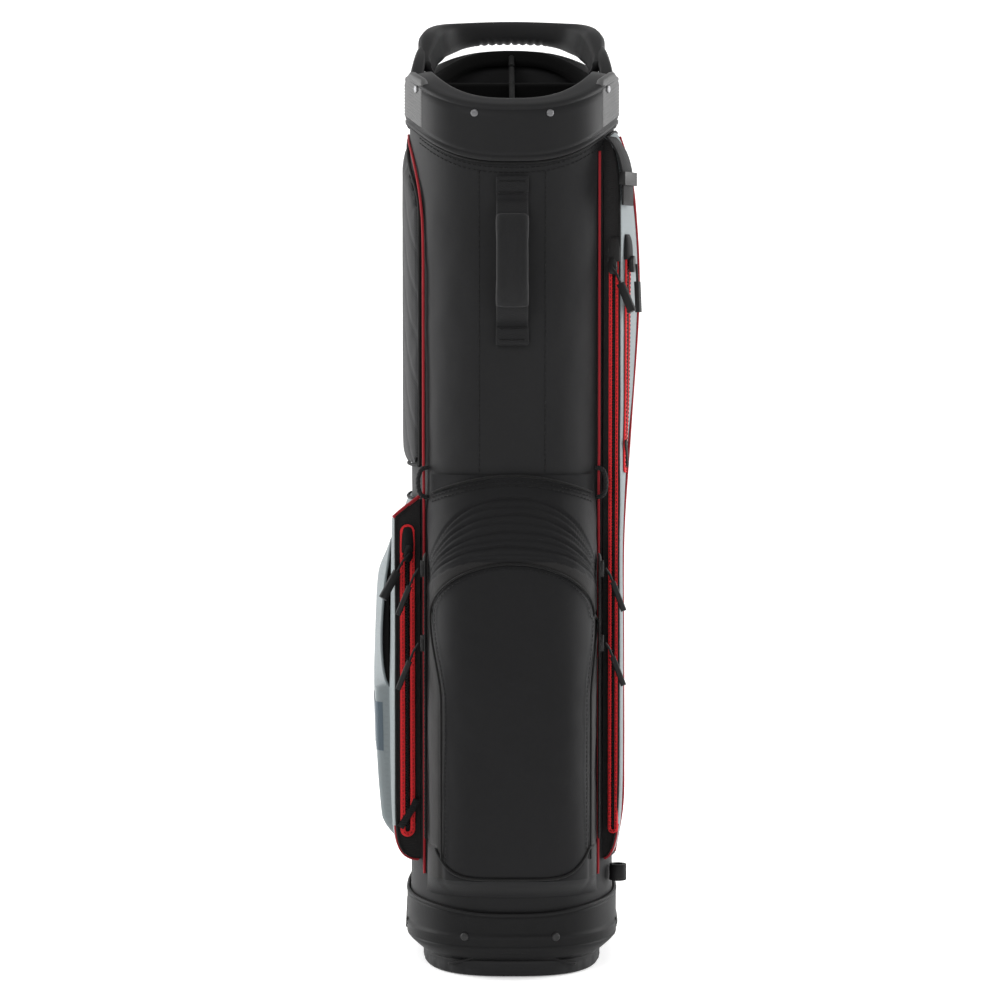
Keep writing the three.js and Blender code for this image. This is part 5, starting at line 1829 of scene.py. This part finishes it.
# hip pad on the back
hip = {"low": 302, "high": 558, "halfWidth": 38.5, "thick": 10.2}
hipBase = nodeBox("hip_pad")[0].y
hipRings = []
for v in crowded(50):
    edge = (1 - abs(2 * v - 1) ** 8) ** 0.5
    z = mix(hip["low"], hip["high"], v)
    half = hip["halfWidth"] * (0.86 + 0.14 * edge)
    ring = []
    for u in crowded(26):
        swellAt = (1 - abs(2 * u - 1) ** 5) ** 0.6 * max(0.12, edge)
        ring.append(Vector((mix(-half, half, u), hipBase + 1.2 + (hip["thick"] - 1.6) * swellAt, z)))
    for u in reversed(crowded(26)):
        ring.append(Vector((mix(-half, half, u), hipBase + 0.4, z)))
    hipRings.append(ring)


def hipShape(place):
    # two upright channels and three level ones
    lift = place.y - hipBase
    if lift < 3:
        return Vector((place.x, max(hipBase + 0.2, place.y), place.z))
    channel = 2.0 * math.exp(-(((abs(place.x) - 13) / 1.7) ** 2))
    for level in (365, 430, 495):
        channel = max(channel, 2.2 * math.exp(-(((place.z - level) / 1.8) ** 2)))
    return Vector((place.x, min(place.y, hipBase + hip["thick"] + 2.5) - channel, place.z))


softPad(
    "hip_cushion",
    hipRings,
    {"voxel": 4.0, "pressure": 4.0, "frames": 16, "cap": 4.0, "fill": 0.6, "shape": hipShape},
    finishes["quilt"],
    "padded_black",
    ["hip_pad"],
)
hipEdge = []
for step in range(120):
    turn = 2 * math.pi * step / 120
    x = bend(math.cos(turn), 0.3) * (hip["halfWidth"] + 1)
    z = 430 + bend(math.sin(turn), 0.3) * 129
    hipEdge.append(Vector((x, hipBase + 1.2, z)))
pipe("hip_binding", hipEdge, 1.6, finishes["blackPiping"], loop=True, slot="padded_black")

# shoulder straps
for sideName in ("left", "right"):
    low, high = nodeBox("shoulder_pad_" + sideName)
    middleX = (low.x + high.x) / 2
    padPoints = []
    for step in range(21):
        share = step / 20
        bow = math.sin(math.pi * share)
        y = mix(low.y + 6.6, high.y - 6.6, bow)
        padPoints.append((middleX, y, mix(low.z + 2, high.z - 2, share)))
    padRoute = smoothRoute(padPoints, 70)
    padNormals = routeNormals(padRoute, Vector((0, 1, 0)))

    def shoulderShape(place, middleX=middleX):
        u = place.x - middleX
        channel = 1.3 * math.exp(-(((abs(u) - 8.5) / 1.5) ** 2))
        route = min(padRoute, key=lambda spot: abs(spot.z - place.z))
        outer = 1 if place.y > route.y else -1
        return Vector((place.x, place.y - channel * outer, place.z))

    softPad(
        "shoulder_cushion_" + sideName,
        boxRings(padRoute, padNormals, (high.x - low.x) - 3, 10.5),
        {"voxel": 3.2, "pressure": 4.0, "frames": 14, "cap": 2.2, "fill": 0.6, "shape": shoulderShape},
        finishes["padding"],
        "padded_black",
        ["shoulder_pad_" + sideName],
    )
    overlay = [spot + normal * 6.2 for spot, normal in zip(padRoute[6:-6], padNormals[6:-6])]
    strap(
        "shoulder_overlay_" + sideName,
        overlay,
        padNormals[6:-6],
        12,
        1.4,
        finishes["webbing"],
        slot="webbing",
    )

print("soft pads made")

# woven loops beside the upper side seams
for sideName in ("left", "right"):
    side = -1 if sideName == "left" else 1
    degrees = side * 49.2
    loopRoute = []
    for step in range(41):
        turn = math.pi * step / 40
        z = 451 + 13.3 * math.cos(turn)
        loopRoute.append(onBag(degrees, 11 * math.sin(turn) ** 0.6 - 0.6, z))
    twist = Shape()
    for strand in range(3):
        line = []
        for index, spot in enumerate(loopRoute):
            turn = index * 0.55 + strand * 2 * math.pi / 3
            before = loopRoute[max(0, index - 1)]
            after = loopRoute[min(40, index + 1)]
            along = (after - before).normalized()
            across = Vector((0.8 * side, 0.6, 0)).cross(along).normalized()
            out = along.cross(across)
            line.append(spot + across * math.cos(turn) * 1.0 + out * math.sin(turn) * 1.0)
        twist.rings(tubeRings(line, 1.25, 8))
    loopNode = "strap_loop_" + sideName
    twist.make("strap_loop_cord_" + sideName, [finishes["webbing"]], slot="webbing", standsFor=[loopNode])


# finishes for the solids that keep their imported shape
kept = {
    "leg": ("leg_tube_left", "leg_tube_right", "actuator_wire", "treadle_pin"),
    "boot": (
        "leg_knuckle_left",
        "leg_knuckle_right",
        "leg_bracket",
        "actuator_yoke",
        "treadle",
        "umbrella_cup",
    ),
    "rubber": ("leg_foot_left", "leg_foot_right", "treadle_pad"),
    "steel": ("leg_pin_left", "leg_pin_right"),
    "webbing": (
        "strap_webbing_upper_left",
        "strap_webbing_upper_right",
        "strap_webbing_lower_left",
        "strap_webbing_lower_right",
        "adjuster_webbing",
    ),
    "zip": ("adjuster_buckle",),
}
zipNames = (
    "ball_zip_upper_left",
    "ball_zip_upper_right",
    "ball_zip_lower_left",
    "ball_zip_lower_right",
    "left_zip",
    "right_long_zip",
    "right_panel_zip",
)
kept["zip"] += tuple(name + "_slider" for name in zipNames)
kept["rubber"] += tuple(name + "_pull" for name in zipNames)
for finishName, names in kept.items():
    for name in names:
        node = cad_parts[name]
        for place in node.material_slots:
            place.material = finishes[finishName].material
        node.data.polygons.foreach_set("use_smooth", [True] * len(node.data.polygons))
        weld = node.modifiers.new("weld", "WELD")
        weld.merge_threshold = 0.00001
        soften = node.modifiers.new("soften", "BEVEL")
        soften.width = 0.0004
        soften.segments = 2
        soften.limit_method = "ANGLE"
        soften.angle_limit = math.radians(35)
        soften.harden_normals = True
print("kept solids finished")

# light, floor and air
studio = {"key": 26, "fill": 10, "rim": 52, "top": 6, "air": 0.5, "floorGlow": 0.32}


def softLight(name, place, aim, size, power):
    lamp = bpy.data.lights.new(name, "AREA")
    lamp.shape = "RECTANGLE"
    lamp.size, lamp.size_y = size
    lamp.energy = power
    holder = bpy.data.objects.new(name, lamp)
    holder.location = place
    holder.rotation_euler = (Vector(aim) - Vector(place)).to_track_quat("-Z", "Y").to_euler()
    scene.collection.objects.link(holder)


softLight("key", (-1.1, -2.6, 2.2), (0, 0, 0.5), (1.6, 1.6), studio["key"])
softLight("fill", (1.6, -2.4, 1.2), (0, 0, 0.4), (1.4, 1.8), studio["fill"])
softLight("rimLeft", (-1.9, 0.5, 0.9), (0, 0, 0.45), (0.9, 2.0), studio["rim"])
softLight("rimRight", (1.9, 0.5, 0.9), (0, 0, 0.45), (0.9, 2.0), studio["rim"])
softLight("top", (0, 0.2, 2.6), (0, 0, 0.5), (1.4, 1.4), studio["top"])
air = bpy.data.worlds.new("air")
air.use_nodes = True
air.node_tree.nodes["Background"].inputs["Color"].default_value = (1, 1, 1, 1)
air.node_tree.nodes["Background"].inputs["Strength"].default_value = studio["air"]
scene.world = air
scene.view_settings.view_transform = "Standard"

floorMesh = bpy.data.meshes.new("floor")
floorPoints = []
floorFaces = []
floorProfile = [(-4, 0), (0, 0), (2.2, 0), (2.7, 0.07), (3.1, 0.3), (3.35, 0.75), (3.4, 1.4), (3.4, 4)]
for index, (y, z) in enumerate(floorProfile):
    floorPoints += [(-5, y, z - 0.0005), (5, y, z - 0.0005)]
    if index:
        floorFaces.append((index * 2 - 2, index * 2 - 1, index * 2 + 1, index * 2))
floorMesh.from_pydata(floorPoints, [], floorFaces)
floorMesh.polygons.foreach_set("use_smooth", [True] * len(floorMesh.polygons))
floorSettings = {"Specular IOR Level": 0.2, "Emission Color": (1, 1, 1, 1)}
floorSettings["Emission Strength"] = studio["floorGlow"]
floorFinish = Finish("paleFloor", floorSettings)
floorCloud = floorFinish.cloudy(floorFinish.place(), 3, 2)
floorFinish.wear("Base Color", floorFinish.blend(floorCloud, (0.93, 0.93, 0.93, 1), (0.96, 0.96, 0.96, 1)))
floorFinish.wear("Roughness", floorFinish.between(floorCloud, 0.75, 0.9))
floorMesh.materials.append(floorFinish.material)
floor = bpy.data.objects.new("floor", floorMesh)
scene.collection.objects.link(floor)
floor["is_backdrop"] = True

low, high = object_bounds()
{"cad": [list(cadLow), list(cadHigh)], "visual": [list(low), list(high)]}
print("scene done")
